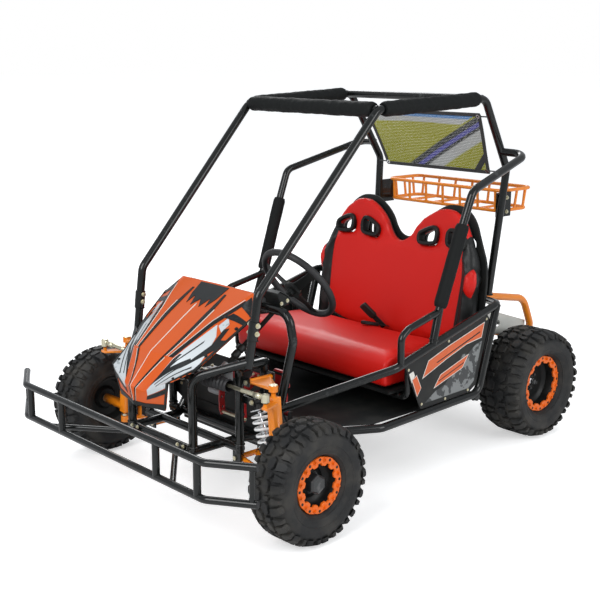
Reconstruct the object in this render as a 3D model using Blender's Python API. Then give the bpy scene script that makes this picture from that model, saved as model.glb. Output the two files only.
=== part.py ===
"""Two-seat off-road racing kart, as an assembly of its real pieces.

Units are metres and +Z is up. The kart drives towards -Y and its left side is +X.
The origin lies on the ground at the middle of the kart's box. Stations along the
kart are written from the front axle and moved to that origin by at().
"""
import math

import bmesh
import bpy
from mathutils import Matrix, Vector

# Overall sizes
WHEELBASE = 1.230
FRONT_TRACK = 1.048
REAR_TRACK = 0.758
FRONT_OVERHANG = 0.341
GAP = 0.0003

# Wheels
FRONT_TYRE_R = 0.180
FRONT_TYRE_W = 0.136
FRONT_RIM_R = 0.078
REAR_TYRE_R = 0.197
REAR_TYRE_W = 0.178
REAR_RIM_R = 0.096
TYRE_STEPS = 18
RIM_STEPS = 12
RING_WIDTH = 0.022
RING_T = 0.005
RING_TEETH = 12
RIM_SHARE = 0.53
RIM_LIP = 0.006
HUB_R = 0.030
FRONT_WHEEL = (FRONT_TYRE_R, FRONT_TYRE_W, FRONT_RIM_R)
REAR_WHEEL = (REAR_TYRE_R, REAR_TYRE_W, REAR_RIM_R)
AXLE_R = 0.0125

# Tubes
TUBE_R = 0.0135
BUMPER_R = 0.0110
RACK_R = 0.0065
RACK_PLATE_X = 0.283
RACK_PLATE_T = 0.007
RACK_HALF_X = RACK_PLATE_X - RACK_PLATE_T / 2 - GAP - RACK_R * math.cos(math.pi / 6)
TUBE_SIDES = 8
FRAME_SIDES = 6
BEND_R = 0.045

# Chassis stations, measured from the front axle
RAIL_X = 0.440
FLOOR_Z = 0.200
BOTTOM_RAIL_Z = 0.224
RAIL_FRONT_Y = 0.447
RAIL_FRONT_Z = 0.404
RAIL_REAR_Y = 0.946
RAIL_REAR_Z = 0.536
REAR_CROSS_Y = 1.100
REAR_CROSS_Z = 0.500
C_FOOT_X = 0.280
SEAT_CROSS_Y = 0.860
TOWER_X = 0.235
TOWER_FRONT_Y = -0.012
TOWER_REAR_Y = 0.085
TOWER_TOP_Z = 0.450
FRONT_TOP_Z = 0.428

# Cage
SLEEVE_Z = 0.600
SLEEVE_X = 0.290
SLEEVE_Y = 0.003
SCREEN_FOOT = (0.292, 0.014, 0.675)
SCREEN_TOP = (0.307, 0.486, 1.192)
ROOF_REAR = (0.318, 0.995, 1.214)
C_BEND = (0.304, 1.147, 0.968)
B_FOOT_Y = 0.620
PAD_LOW = (0.434, 0.654, 0.562)
PAD_TOP = (0.443, 0.749, 0.832)
B_BEND = (0.446, 0.788, 0.932)
B_REAR = (0.400, 1.130, 1.025)
HIP_R = 0.0115
PILLAR_PAD_R = 0.0225
ROOF_PAD_R = 0.0250

# Rear net, tied to the two rear pillars
NET_TIE_LOW = 0.3030 - TUBE_R - GAP
NET_TIE_TOP = 0.3145 - TUBE_R - GAP
NET_HALF_LOW = 0.245
NET_HALF_TOP = 0.270
NET_BINDING = 0.012
NET_COLUMNS = 8
NET_ROWS = 4

# Front suspension
LOWER_PIVOT_X = 0.215
LOWER_PIVOT_Z = 0.165
UPPER_PIVOT_X = 0.270
UPPER_PIVOT_Z = 0.415
LOWER_BALL = (0.400, 0.000, 0.135)
UPPER_BALL = (0.375, 0.000, 0.405)
PIVOT_R = 0.0090
SHOCK_Y = 0.012
FRONT_SHOCK_LOW = (0.350, 0.195)
FRONT_SHOCK_TOP = (0.285, 0.355)
EYE_HALF = 0.0115
EAR_T = 0.004
SOCKET_TOP = 0.0090
STUD_COLLAR_Z = 0.0107
STUD_NECK_Z = 0.0098
DAMPER_ROD_R = 0.0048
SPRING_R = 0.0200
SPRING_WIRE_R = 0.0032
FRONT_SPRING_TURNS = 6.0

# Steering
STEER_X = 0.180
WHEEL_CENTRE_Y = 0.275
WHEEL_CENTRE_Z = 0.659
WHEEL_TILT = math.radians(35.8)
STEER_RIM_R = 0.131
STEER_RIM_TUBE = 0.0115
SHAFT_R = 0.0075
RACK_Y = -0.060
RACK_Z = 0.409
RACK_HALF = 0.145
BOOT_END = 0.250
BOOT_BORE_R = 0.0172
TIE_ROD_R = 0.0060
STEER_ARM_Z = 0.380
COLUMN_FOOT_Y = -0.012
TIE_BALL = (0.413, -0.063, 0.411)

# Rear suspension and drive
SWING_Y = 0.905
SWING_Z = 0.205
SWING_X = 0.210
BRACE_Y = 1.100
REAR_SHOCK_X = 0.062
REAR_SHOCK_LOW = (1.100, 0.236)
REAR_SHOCK_TOP = (1.066, 0.452)
REAR_SPRING_R = 0.0225
REAR_SPRING_WIRE_R = 0.0038
REAR_SPRING_TURNS = 6.5
CHAIN_X = 0.004
DRIVE_SPROCKET = (1.030, 0.335)
DRIVE_SPROCKET_R = 0.026
AXLE_SPROCKET_R = 0.066
CHAIN_T = 0.007

# Pedals
BRAKE_X = 0.100
THROTTLE_X = 0.195
PEDAL_Y = 0.205
PEDAL_Z = 0.2545
PEDAL_HALF = 0.022

# Seat
SEAT_HALF = 0.385
BACK_T = 0.055
SEAT_FRONT_Y = 0.455
SEAT_TRAY_Z = 0.300
CUSHION_TOP_Z = 0.425
BACK_FOOT_Y = 0.905
BACK_TOP_Y = 0.995
BACK_TOP_Z = 0.835
LOBE_X = 0.205

FRONT_AXLE_Y = (FRONT_OVERHANG - WHEELBASE - REAR_TYRE_R) / 2
REAR_AXLE_Y = WHEELBASE

def clear_scene():
    """Remove whatever the scene holds."""
    for item in list(bpy.data.objects):
        bpy.data.objects.remove(item, do_unlink=True)


def at(x, y, z):
    """A point given from the front axle, in the kart's own frame."""
    return Vector((x, FRONT_AXLE_Y + y, z))


def finish(name, colour, roughness, metallic=0.0):
    """A plain material with the piece's colour."""
    material = bpy.data.materials.new(name)
    material.use_nodes = True
    shader = material.node_tree.nodes["Principled BSDF"]
    shader.inputs["Base Color"].default_value = (*colour, 1.0)
    shader.inputs["Roughness"].default_value = roughness
    shader.inputs["Metallic"].default_value = metallic
    material.diffuse_color = (*colour, 1.0)
    return material


def solid(bm):
    """Turn a bmesh into a closed mesh whose faces point out."""
    bmesh.ops.remove_doubles(bm, verts=bm.verts, dist=1e-6)
    bmesh.ops.recalc_face_normals(bm, faces=bm.faces)
    mesh = bpy.data.meshes.new("solid")
    bm.to_mesh(mesh)
    bm.free()
    return mesh


def bent_path(points, bend=BEND_R, step=math.radians(36)):
    """Round each inner corner of a route with an arc."""
    path = [Vector(points[0])]
    for before, corner, after in zip(points, points[1:], points[2:]):
        corner = Vector(corner)
        back = (Vector(before) - corner)
        ahead = (Vector(after) - corner)
        turn = math.pi - back.angle(ahead)
        if turn < math.radians(3):
            path.append(corner)
            continue
        reach = min(bend * math.tan(turn / 2), back.length * 0.45, ahead.length * 0.45)
        radius = reach / math.tan(turn / 2)
        bisector = (back.normalized() + ahead.normalized()).normalized()
        centre = corner + bisector * math.hypot(reach, radius)
        start = corner + back.normalized() * reach - centre
        axis = start.cross(corner + ahead.normalized() * reach - centre).normalized()
        count = max(1, round(turn / step))
        for i in range(count + 1):
            path.append(centre + Matrix.Rotation(turn * i / count, 3, axis) @ start)
    path.append(Vector(points[-1]))
    return path


def sweep(path, radii, sides):
    """Carry a circle along a path; radii holds one radius for each point."""
    bm = bmesh.new()
    along = [(b - a).normalized() for a, b in zip(path, path[1:])]
    along = [along[0]] + [(a + b).normalized() for a, b in zip(along, along[1:])] + [along[-1]]
    normal = along[0].orthogonal().normalized()
    rings = []
    for point, tangent, radius in zip(path, along, radii):
        normal = (normal - tangent * normal.dot(tangent)).normalized()
        side = tangent.cross(normal)
        ring = []
        for i in range(sides):
            angle = 2 * math.pi * i / sides
            ring.append(bm.verts.new(point + radius * (normal * math.cos(angle) + side * math.sin(angle))))
        rings.append(ring)
    for low, high in zip(rings, rings[1:]):
        for i in range(sides):
            j = (i + 1) % sides
            bm.faces.new((low[i], low[j], high[j], high[i]))
    bm.faces.new(rings[0][::-1])
    bm.faces.new(rings[-1])
    return solid(bm)


def tube(points, radius=TUBE_R, bend=BEND_R, sides=TUBE_SIDES):
    """A round tube along a route with bent corners."""
    path = bent_path(points, bend)
    return sweep(path, [radius] * len(path), sides)


def lathe(profile, origin, axis, steps=24):
    """Turn a closed outline of (along, radius) pairs about an axis."""
    turn = Vector((0, 0, 1)).rotation_difference(Vector(axis)).to_matrix()
    bm = bmesh.new()
    rings = []
    for along, radius in profile:
        if radius < 1e-7:
            rings.append([bm.verts.new(origin + turn @ Vector((0, 0, along)))] * steps)
            continue
        ring = []
        for i in range(steps):
            angle = 2 * math.pi * i / steps
            spot = Vector((radius * math.cos(angle), radius * math.sin(angle), along))
            ring.append(bm.verts.new(origin + turn @ spot))
        rings.append(ring)
    for low, high in zip(rings, rings[1:] + rings[:1]):
        for i in range(steps):
            j = (i + 1) % steps
            corners = []
            for vert in (low[i], low[j], high[j], high[i]):
                if vert not in corners:
                    corners.append(vert)
            if len(corners) > 2:
                bm.faces.new(corners)
    return solid(bm)


def rod(start, end, radius, sides=12):
    """A straight round bar."""
    return sweep([Vector(start), Vector(end)], [radius, radius], sides)


def block(low, high):
    """A box between two corners."""
    bm = bmesh.new()
    bmesh.ops.create_cube(bm, size=1.0)
    low, high = Vector(low), Vector(high)
    for vert in bm.verts:
        vert.co = Vector([a + (b - a) * (c + 0.5) for a, b, c in zip(low, high, vert.co)])
    return solid(bm)


def plate(outline, thickness, origin, across, up):
    """A flat plate: an outline in the across and up directions, given a thickness."""
    across, up = Vector(across).normalized(), Vector(up).normalized()
    out = across.cross(up)
    bm = bmesh.new()
    face = bm.faces.new([bm.verts.new(origin + across * a + up * b - out * thickness / 2) for a, b in outline])
    moved = bmesh.ops.extrude_face_region(bm, geom=[face])["geom"]
    bmesh.ops.translate(bm, vec=out * thickness,
                        verts=[item for item in moved if isinstance(item, bmesh.types.BMVert)])
    return solid(bm)


def profile_plate(points, x_low, x_high):
    """A piece with one outline of (y, z) points, extruded along X."""
    outline = [(FRONT_AXLE_Y + y, z) for y, z in points]
    middle = Vector(((x_low + x_high) / 2, 0, 0))
    return plate(outline, x_high - x_low, middle, (0, 1, 0), (0, 0, 1))


def put(name, mesh, material):
    """Place a mesh in the scene as a named object."""
    mesh.name = name
    item = bpy.data.objects.new(name, mesh)
    bpy.context.scene.collection.objects.link(item)
    mesh.materials.clear()
    mesh.materials.append(material)
    mesh.shade_smooth()
    mesh.set_sharp_from_angle(angle=math.radians(40))
    return item


def combine(item, meshes, operation):
    """Join meshes to an object, or cut them from it, as one exact Boolean."""
    helpers = bpy.data.collections.new("helpers")
    for mesh in meshes:
        helpers.objects.link(bpy.data.objects.new("helper", mesh))
    change = item.modifiers.new(operation.title(), "BOOLEAN")
    change.operation = operation
    change.operand_type = "COLLECTION"
    change.collection = helpers
    change.solver = "EXACT"
    graph = bpy.context.evaluated_depsgraph_get()
    result = bpy.data.meshes.new_from_object(item.evaluated_get(graph))
    item.modifiers.clear()
    item.data = result
    for helper in list(helpers.objects):
        bpy.data.objects.remove(helper, do_unlink=True)
    bpy.data.collections.remove(helpers)


def weld(name, meshes, material, cuts=()):
    """One solid made of overlapping solids, less what is cut from it."""
    item = put(name, meshes[0], material)
    if len(meshes) > 1:
        combine(item, meshes[1:], "UNION")
    if cuts:
        combine(item, list(cuts), "DIFFERENCE")
    return put_again(item, name, material)


def put_again(item, name, material):
    """Give a combined object its clean mesh, name and shading."""
    bm = bmesh.new()
    bm.from_mesh(item.data)
    bmesh.ops.dissolve_limit(bm, angle_limit=math.radians(0.5), verts=bm.verts, edges=bm.edges)
    bmesh.ops.remove_doubles(bm, verts=bm.verts, dist=2e-6)
    bmesh.ops.dissolve_degenerate(bm, edges=bm.edges, dist=2e-6)
    bmesh.ops.triangulate(bm, faces=bm.faces)
    bm.to_mesh(item.data)
    bm.free()
    mesh = item.data
    bpy.data.objects.remove(item, do_unlink=True)
    return put(name, mesh, material)


def hinge_at(item, origin):
    """Put an object's own origin on its joint's axis, without moving its shape."""
    origin = Vector(origin)
    item.data.transform(Matrix.Translation(-origin))
    item.location = origin
    return item


def rail_z(y):
    """Height of the upper side rail's middle line behind its front bend."""
    slope = (RAIL_REAR_Z - RAIL_FRONT_Z) / (RAIL_REAR_Y - RAIL_FRONT_Y)
    return RAIL_FRONT_Z + slope * (y - RAIL_FRONT_Y)


RAIL_SLOPE = math.atan2(RAIL_REAR_Z - RAIL_FRONT_Z, RAIL_REAR_Y - RAIL_FRONT_Y)

def rail_under(y):
    """Height just below the side rail."""
    return rail_z(y) - (TUBE_R + GAP) / math.cos(RAIL_SLOPE)


def along(a, b, t):
    """A point between two others."""
    return tuple(p + (q - p) * t for p, q in zip(a, b))


def side_rail_route(s):
    """Route of one upper side rail, from the front tower to the rear cross tube."""
    return [at(s * 0.285, 0.095, 0.310), at(s * RAIL_X, RAIL_FRONT_Y, RAIL_FRONT_Z),
            at(s * RAIL_X, RAIL_REAR_Y, RAIL_REAR_Z), at(s * C_FOOT_X, REAR_CROSS_Y, REAR_CROSS_Z)]


def tower_parts(s):
    """Front tower of one side, with the ears of both wishbones and of the damper."""
    parts = []
    for y in (TOWER_FRONT_Y, TOWER_REAR_Y):
        parts.append(rod(at(s * TOWER_X, y, FLOOR_Z - TUBE_R), at(s * TOWER_X, y, TOWER_TOP_Z),
                         TUBE_R, FRAME_SIDES))
        inner = s * LOWER_PIVOT_X
        parts.append(block(at(min(inner, inner + s * 0.030) - 0.012, y - 0.003, LOWER_PIVOT_Z - 0.014),
                           at(max(inner, inner + s * 0.030) - 0.004, y + 0.003, FLOOR_Z)))
        ear = sorted((s * TOWER_X, s * (UPPER_PIVOT_X + 0.012)))
        parts.append(block(at(ear[0], y - 0.003, UPPER_PIVOT_Z - 0.012),
                           at(ear[1], y + 0.003, UPPER_PIVOT_Z + 0.014)))
    parts.append(rod(at(s * TOWER_X, TOWER_FRONT_Y - 0.010, TOWER_TOP_Z),
                     at(s * TOWER_X, TOWER_REAR_Y + 0.010, TOWER_TOP_Z), TUBE_R, FRAME_SIDES))
    parts.append(rod(at(s * TOWER_X, TOWER_REAR_Y, 0.330), at(s * 0.285, 0.100, 0.312), TUBE_R, FRAME_SIDES))
    parts.append(tube([at(s * 0.16, -0.130, FLOOR_Z), at(s * 0.16, -0.130, FRONT_TOP_Z),
                       at(s * 0.283, -0.015, 0.478)], bend=0.03, sides=FRAME_SIDES))
    parts.append(rod(at(s * TOWER_X, -0.005, TOWER_TOP_Z), at(s * 0.284, -0.012, 0.472), TUBE_R, FRAME_SIDES))
    parts.append(rod(at(s * 0.284, -0.017, 0.462), at(s * 0.2885, -0.001, 0.570), TUBE_R, FRAME_SIDES))
    parts.append(rod(at(s * 0.2878, -0.005, 0.545), at(s * SLEEVE_X, SLEEVE_Y, SLEEVE_Z), TUBE_R + 0.003, 8))
    top_x, top_z = FRONT_SHOCK_TOP
    for y in (SHOCK_Y - EYE_HALF - GAP - EAR_T / 2, SHOCK_Y + EYE_HALF + GAP + EAR_T / 2):
        ear = sorted((s * (TOWER_X + 0.004), s * (top_x + 0.010)))
        parts.append(block(at(ear[0], y - EAR_T / 2, top_z - 0.011), at(ear[1], y + EAR_T / 2, top_z + 0.012)))
    web = sorted((s * (TOWER_X - 0.004), s * (TOWER_X + 0.010)))
    parts.append(block(at(web[0], TOWER_FRONT_Y, top_z - 0.011), at(web[1], TOWER_REAR_Y, top_z + 0.012)))
    return parts


def side_frame_parts(s):
    """Floor rail, side rail, tower and cradle tube of one side."""
    parts = [tube([at(s * 0.16, -0.136, FLOOR_Z), at(s * 0.16, 0.050, FLOOR_Z),
                   at(s * 0.38, 0.280, BOTTOM_RAIL_Z), at(s * RAIL_X, 0.389, BOTTOM_RAIL_Z),
                   at(s * RAIL_X, SEAT_CROSS_Y, 0.240), at(s * RAIL_X, RAIL_REAR_Y, RAIL_REAR_Z)],
                  sides=FRAME_SIDES),
             tube(side_rail_route(s), sides=8),
             rod(at(s * 0.285, 0.095, 0.310), at(s * 0.262, 0.160, 0.213), TUBE_R, FRAME_SIDES)]
    parts += tower_parts(s)
    parts.append(tube([at(s * 0.17, SEAT_CROSS_Y, 0.222), at(s * 0.17, 0.950, 0.268),
                       at(s * 0.17, REAR_CROSS_Y, 0.290), at(s * 0.17, REAR_CROSS_Y, REAR_CROSS_Z)],
                      sides=FRAME_SIDES))
    lug = sorted((s * (SWING_X + 0.0245), s * (SWING_X + 0.0295)))
    parts.append(block(at(lug[0], SEAT_CROSS_Y - 0.005, SWING_Z - 0.016),
                       at(lug[1], SWING_Y + 0.016, SWING_Z + 0.016)))
    return parts


def cross_tube(half, y, z):
    """A straight frame tube from side to side."""
    return rod(at(-half, y, z), at(half, y, z), TUBE_R, FRAME_SIDES)


def front_cross_parts():
    """Cross tubes of the front end and the two hood stays."""
    parts = [cross_tube(0.166, -0.130, FLOOR_Z + 0.001)]
    for y in (TOWER_FRONT_Y, TOWER_REAR_Y):
        parts.append(cross_tube(TOWER_X + 0.008, y, FLOOR_Z + 0.001))
    parts.append(cross_tube(0.16, -0.130, FRONT_TOP_Z))
    for x in (-0.090, 0.090):
        stay = [(-0.134, FRONT_TOP_Z), (-0.126, FRONT_TOP_Z), (-0.126, 0.4992), (-0.134, 0.4938)]
        parts.append(profile_plate(stay, x - 0.006, x + 0.006))
    return parts


def middle_cross_parts():
    """Cross tubes under the feet and the seat, the seat's slings and the knee hoop."""
    parts = [cross_tube(0.380, 0.290, FLOOR_Z + 0.008), cross_tube(RAIL_X, SEAT_CROSS_Y, FLOOR_Z + 0.025)]
    for y in (0.520, 0.800):
        z = SEAT_TRAY_Z - GAP - 0.010
        sling = [at(-0.424, y, rail_z(y)), at(-0.424, y, z), at(0.424, y, z), at(0.424, y, rail_z(y))]
        parts.append(tube(sling, 0.010, 0.025, 6))
    parts.append(cross_tube(C_FOOT_X, REAR_CROSS_Y, REAR_CROSS_Z))
    parts.append(tube([at(-0.285, 0.102, 0.305), at(-0.300, 0.145, 0.515), at(-0.285, 0.140, 0.602),
                       at(0.285, 0.140, 0.602), at(0.300, 0.145, 0.515), at(0.285, 0.102, 0.305)], bend=0.04))
    return parts


def rear_mount_parts():
    """Engine plate and the two ears of the rear damper."""
    parts = [block(at(-0.172, 0.970, 0.279), at(0.172, 1.030, 0.286))]
    ear_y, ear_z = REAR_SHOCK_TOP
    for x in (REAR_SHOCK_X - EYE_HALF - GAP - EAR_T / 2, REAR_SHOCK_X + EYE_HALF + GAP + EAR_T / 2):
        parts.append(profile_plate([(ear_y - 0.012, ear_z - 0.012), (ear_y + 0.012, ear_z - 0.012),
                                    (REAR_CROSS_Y + 0.008, REAR_CROSS_Z), (REAR_CROSS_Y - 0.010, REAR_CROSS_Z)],
                                   x - EAR_T / 2, x + EAR_T / 2))
    return parts


def make_lower_frame(paint):
    """Welded tube frame: floor rails, side rails, front towers and engine cradle."""
    parts = side_frame_parts(-1) + side_frame_parts(1)
    parts += front_cross_parts() + middle_cross_parts() + rear_mount_parts()
    return weld("lower_frame", parts, paint)


def make_floor_pan(paint):
    """Sheet floor between the rails, with the ears that the pedals turn in."""
    low = FLOOR_Z + 0.008 + TUBE_R + GAP
    outline = [(-0.165, 0.120), (0.165, 0.120), (0.330, 0.292), (0.395, 0.400), (0.395, 0.835),
               (-0.395, 0.835), (-0.395, 0.400), (-0.330, 0.292)]
    parts = [plate(outline, 0.002, at(0, 0, low + 0.001), (1, 0, 0), (0, 1, 0))]
    for x in (BRAKE_X, THROTTLE_X):
        for side in (-1, 1):
            ear = x + side * (PEDAL_HALF + GAP + 0.0015)
            parts.append(block(at(ear - 0.0015, PEDAL_Y - 0.010, low),
                               at(ear + 0.0015, PEDAL_Y + 0.010, PEDAL_Z + 0.010)))
    return weld("floor_pan", parts, paint)


def make_bumper(paint):
    """Double front bumper of two bent tubes, four posts and two stays."""
    parts = []
    for z in (0.200, 0.304):
        parts.append(tube([at(-0.602, -0.254, z + 0.004), at(-0.472, -0.330, z), at(0.472, -0.330, z),
                           at(0.602, -0.254, z + 0.004)], BUMPER_R, sides=FRAME_SIDES))
    for x in (-0.443, -0.253, 0.253, 0.443):
        parts.append(rod(at(x, -0.330, 0.195), at(x, -0.330, 0.304), BUMPER_R, FRAME_SIDES))
    for s in (-1, 1):
        parts.append(rod(at(s * 0.590, -0.261, 0.200), at(s * 0.590, -0.261, 0.304), 0.008, 4))
        plate_y = -0.130 - TUBE_R - GAP
        x = s * 0.120
        parts.append(tube([at(s * 0.330, -0.330, 0.200), at(s * 0.150, -0.190, 0.200), at(x, -0.168, 0.200),
                           at(x, plate_y - 0.001, 0.200)], 0.009, 0.02, FRAME_SIDES))
        parts.append(block(at(x - 0.020, plate_y - 0.004, 0.182), at(x + 0.020, plate_y, 0.218)))
    return weld("front_bumper", parts, paint)


def cage_side_routes(s):
    """The routes of one side of the cage."""
    def spot(p):
        return at(s * p[0], p[1], p[2])
    foot = at(s * SLEEVE_X, SLEEVE_Y, SLEEVE_Z + GAP)
    c_foot = at(s * C_FOOT_X, REAR_CROSS_Y + 0.003, REAR_CROSS_Z + TUBE_R + 0.004)
    main = [foot, spot(SCREEN_FOOT), spot(SCREEN_TOP), spot(ROOF_REAR), spot(C_BEND), c_foot]
    joint = along(C_BEND, ROOF_REAR, 0.25)
    b_foot = at(s * RAIL_X, B_FOOT_Y, rail_z(B_FOOT_Y))
    pillar = [b_foot, spot(PAD_LOW), spot(PAD_TOP), spot(B_BEND), spot(B_REAR), spot(joint)]
    return main, pillar


def make_cage(paint):
    """Roll cage: both side hoops, roof cross tubes, side pillars and hip hoops."""
    parts = []
    cuts = []
    for s in (-1, 1):
        main, pillar = cage_side_routes(s)
        parts.append(tube(main))
        parts.append(tube(pillar))
        hip_foot = at(s * RAIL_X, 0.470, rail_z(0.470))
        cuts.append(tube(side_rail_route(s), TUBE_R + GAP))
        parts.append(tube([hip_foot, at(s * RAIL_X, 0.470, 0.500), at(s * 0.439, 0.505, 0.522),
                           at(s * 0.434, 0.648, 0.553)], HIP_R, 0.03))
        x, half = s * RACK_PLATE_X, RACK_PLATE_T / 2
        parts.append(block(at(x - half, REAR_CROSS_Y + 0.025, 0.795), at(x + half, 1.205, 0.882)))
    for point in (SCREEN_TOP, along(SCREEN_TOP, ROOF_REAR, 0.97)):
        parts.append(rod(at(-point[0], point[1], point[2]), at(*point), TUBE_R, FRAME_SIDES))
    return weld("roll_cage", parts, paint, cuts)


def make_pads(foam):
    """Foam sleeves on the side pillars and the padded roof."""
    for s, name in ((-1, "pillar_pad_right"), (1, "pillar_pad_left")):
        low, low_end, top_end, top = [along(PAD_LOW, PAD_TOP, t) for t in (-0.04, 0.04, 0.96, 1.04)]
        sleeve = rod(at(s * low_end[0], *low_end[1:]), at(s * top_end[0], *top_end[1:]), PILLAR_PAD_R, 12)
        bore = rod(at(s * low[0], *low[1:]), at(s * top[0], *top[1:]), TUBE_R + 4 * GAP, 10)
        weld(name, [sleeve], foam, [bore])
    half = SCREEN_TOP[0] - 0.02
    pads = [rod(at(-half, *SCREEN_TOP[1:]), at(half, *SCREEN_TOP[1:]), ROOF_PAD_R, 10)]
    cuts = [rod(at(-0.40, *SCREEN_TOP[1:]), at(0.40, *SCREEN_TOP[1:]), TUBE_R + 4 * GAP, 8)]
    for s in (-1, 1):
        start = along(SCREEN_TOP, ROOF_REAR, 0.10)
        end = along(SCREEN_TOP, ROOF_REAR, 0.90)
        corner = at(s * (SCREEN_TOP[0] - 0.03), *SCREEN_TOP[1:])
        route = [corner, at(s * start[0], *start[1:]), at(s * end[0], *end[1:])]
        pads.append(tube(route, ROOF_PAD_R, 0.03, 10))
        main, _ = cage_side_routes(s)
        path = bent_path(main[1:-1])
        cuts.append(sweep(path, [TUBE_R + 4 * GAP] * len(path), 8))
    return weld("roof_padding", pads, foam, cuts)


def make_hood(paint):
    """Front cowl: a thin moulded shell with a fold, two creases and a lower nose."""
    rows = [
        [(0.115, -0.196, 0.330), (0.040, -0.214, 0.330), (0.000, -0.228, 0.330)],
        [(0.145, -0.206, 0.425), (0.041, -0.224, 0.378), (0.000, -0.240, 0.392)],
        [(0.180, -0.130, 0.455), (0.087, -0.158, 0.483), (0.000, -0.163, 0.484)],
        [(0.212, -0.030, 0.535), (0.132, -0.033, 0.572), (0.000, -0.035, 0.573)],
        [(0.232, 0.060, 0.600), (0.177, 0.093, 0.655), (0.000, 0.093, 0.657)],
    ]
    bm = bmesh.new()
    grid = []
    for row in rows:
        left = [bm.verts.new(at(-x, y, z)) for x, y, z in row[:-1]]
        middle = [bm.verts.new(at(*row[-1]))]
        right = [bm.verts.new(at(*p)) for p in row[:-1][::-1]]
        grid.append(left + middle + right)
    for low, high in zip(grid, grid[1:]):
        for i in range(len(low) - 1):
            bm.faces.new((low[i], low[i + 1], high[i + 1], high[i]))
    bmesh.ops.subdivide_edges(bm, edges=bm.edges, cuts=1, use_grid_fill=True)
    mesh = bpy.data.meshes.new("hood")
    bm.to_mesh(mesh)
    bm.free()
    item = put("hood", mesh, paint)
    wall = item.modifiers.new("Wall", "SOLIDIFY")
    wall.thickness = 0.004
    wall.offset = -1
    wall.use_even_offset = True
    return item


def make_side_panel(name, s, paint):
    """Flat side cover that fills the space between the two side rails."""
    edge = TUBE_R + GAP
    outline = [(0.490, rail_under(0.490)), (0.570, BOTTOM_RAIL_Z + 0.007 + edge),
               (0.815, 0.2395 + edge), (0.848, 0.272), (0.910, 0.490), (0.895, rail_under(0.895))]
    x = sorted((s * (RAIL_X - 0.003), s * RAIL_X))
    return put(name, profile_plate(outline, *x), paint)


def back_outline(grow=0.0):
    """Half outline of the seat back as (x, height fraction), from the foot up."""
    return [(SEAT_HALF + grow, 0.00), (SEAT_HALF + grow, 0.45), (0.375 + grow, 0.66), (0.335 + grow, 0.80),
            (0.300 + grow, 0.93), (LOBE_X + 0.045, 1.00 + grow), (LOBE_X - 0.045, 1.00 + grow),
            (0.085, 0.91 + grow), (0.045, 0.79 + grow), (0.000, 0.755 + grow)]


def seat_back_plate(thickness, offset, grow=0.0, foot_z=0.330):
    """A slab with the double-lobed outline, lying in the reclined plane of the back."""
    foot = at(0, BACK_FOOT_Y, SEAT_TRAY_Z)
    lean = at(0, BACK_TOP_Y, BACK_TOP_Z) - foot
    out = Vector((1, 0, 0)).cross(lean.normalized())
    start = (foot_z - SEAT_TRAY_Z) / lean.z
    half = [(x, (start + (1 - start) * t) * lean.length) for x, t in back_outline(grow)]
    outline = half + [(-x, h) for x, h in half[-2::-1]]
    return plate(outline, thickness, foot - out * (offset + thickness / 2), (1, 0, 0), lean)


def harness_slots():
    """Place and outline of the four slots in the back, two for each seat."""
    lean = at(0, BACK_TOP_Y, BACK_TOP_Z) - at(0, BACK_FOOT_Y, SEAT_TRAY_Z)
    slots = []
    for centre in (-LOBE_X, LOBE_X):
        for side in (-1, 1):
            spot = at(centre + side * 0.062, BACK_FOOT_Y, SEAT_TRAY_Z) + lean * 0.80
            slant = 0.010 * side
            outline = [(-0.030, -0.022 + slant), (0.030, -0.022 - slant),
                       (0.026, 0.020 - slant), (-0.026, 0.020 + slant)]
            slots.append((spot, outline))
    return slots, lean


def make_seat_back(vinyl, shell):
    """Double-lobed back and the shell behind and below it, with their slots."""
    slots, lean = harness_slots()
    cuts = [plate(outline, 0.30, spot, (1, 0, 0), lean) for spot, outline in slots]
    weld("seat_back", [seat_back_plate(BACK_T, -BACK_T - GAP)], vinyl, cuts)
    side = SEAT_HALF + 0.002
    tray = block(at(-side, SEAT_FRONT_Y + 0.020, SEAT_TRAY_Z),
                 at(side, BACK_FOOT_Y + 0.012, SEAT_TRAY_Z + 0.010))
    cuts = [plate(outline_grown(outline), 0.30, spot, (1, 0, 0), lean) for spot, outline in slots]
    weld("seat_shell", [tray, seat_back_plate(0.012, 0.0, 0.006, SEAT_TRAY_Z + 0.002)], shell, cuts)


def make_cushion(vinyl):
    """Bench cushion with a rolled front edge."""
    low, top = SEAT_TRAY_Z + 0.010 + GAP, CUSHION_TOP_Z
    profile = [(SEAT_FRONT_Y + 0.015, low), (SEAT_FRONT_Y, low + 0.030), (SEAT_FRONT_Y + 0.002, top - 0.035),
               (SEAT_FRONT_Y + 0.018, top - 0.010), (SEAT_FRONT_Y + 0.050, top), (0.640, top - 0.006),
               (0.800, top - 0.018), (BACK_FOOT_Y - BACK_T - 0.004, top - 0.030),
               (BACK_FOOT_Y - BACK_T - 0.010, low)]
    return weld("seat_cushion", [profile_plate(profile, -SEAT_HALF, SEAT_HALF)], vinyl)


def outline_grown(outline, by=0.003):
    """An outline moved outwards from its middle."""
    return [(x + math.copysign(by, x), y + math.copysign(by, y)) for x, y in outline]


def net_frame():
    """The reclined plane that the rear net hangs in, as origin, across and up."""
    low = at(0, 1.128, 0.950)
    top = at(0, 1.030, 1.158)
    return low, (top - low)


def net_half_width(height):
    """Half width of the net at a height up its plane."""
    _, up = net_frame()
    return NET_HALF_LOW + (NET_HALF_TOP - NET_HALF_LOW) * height / up.length


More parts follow.
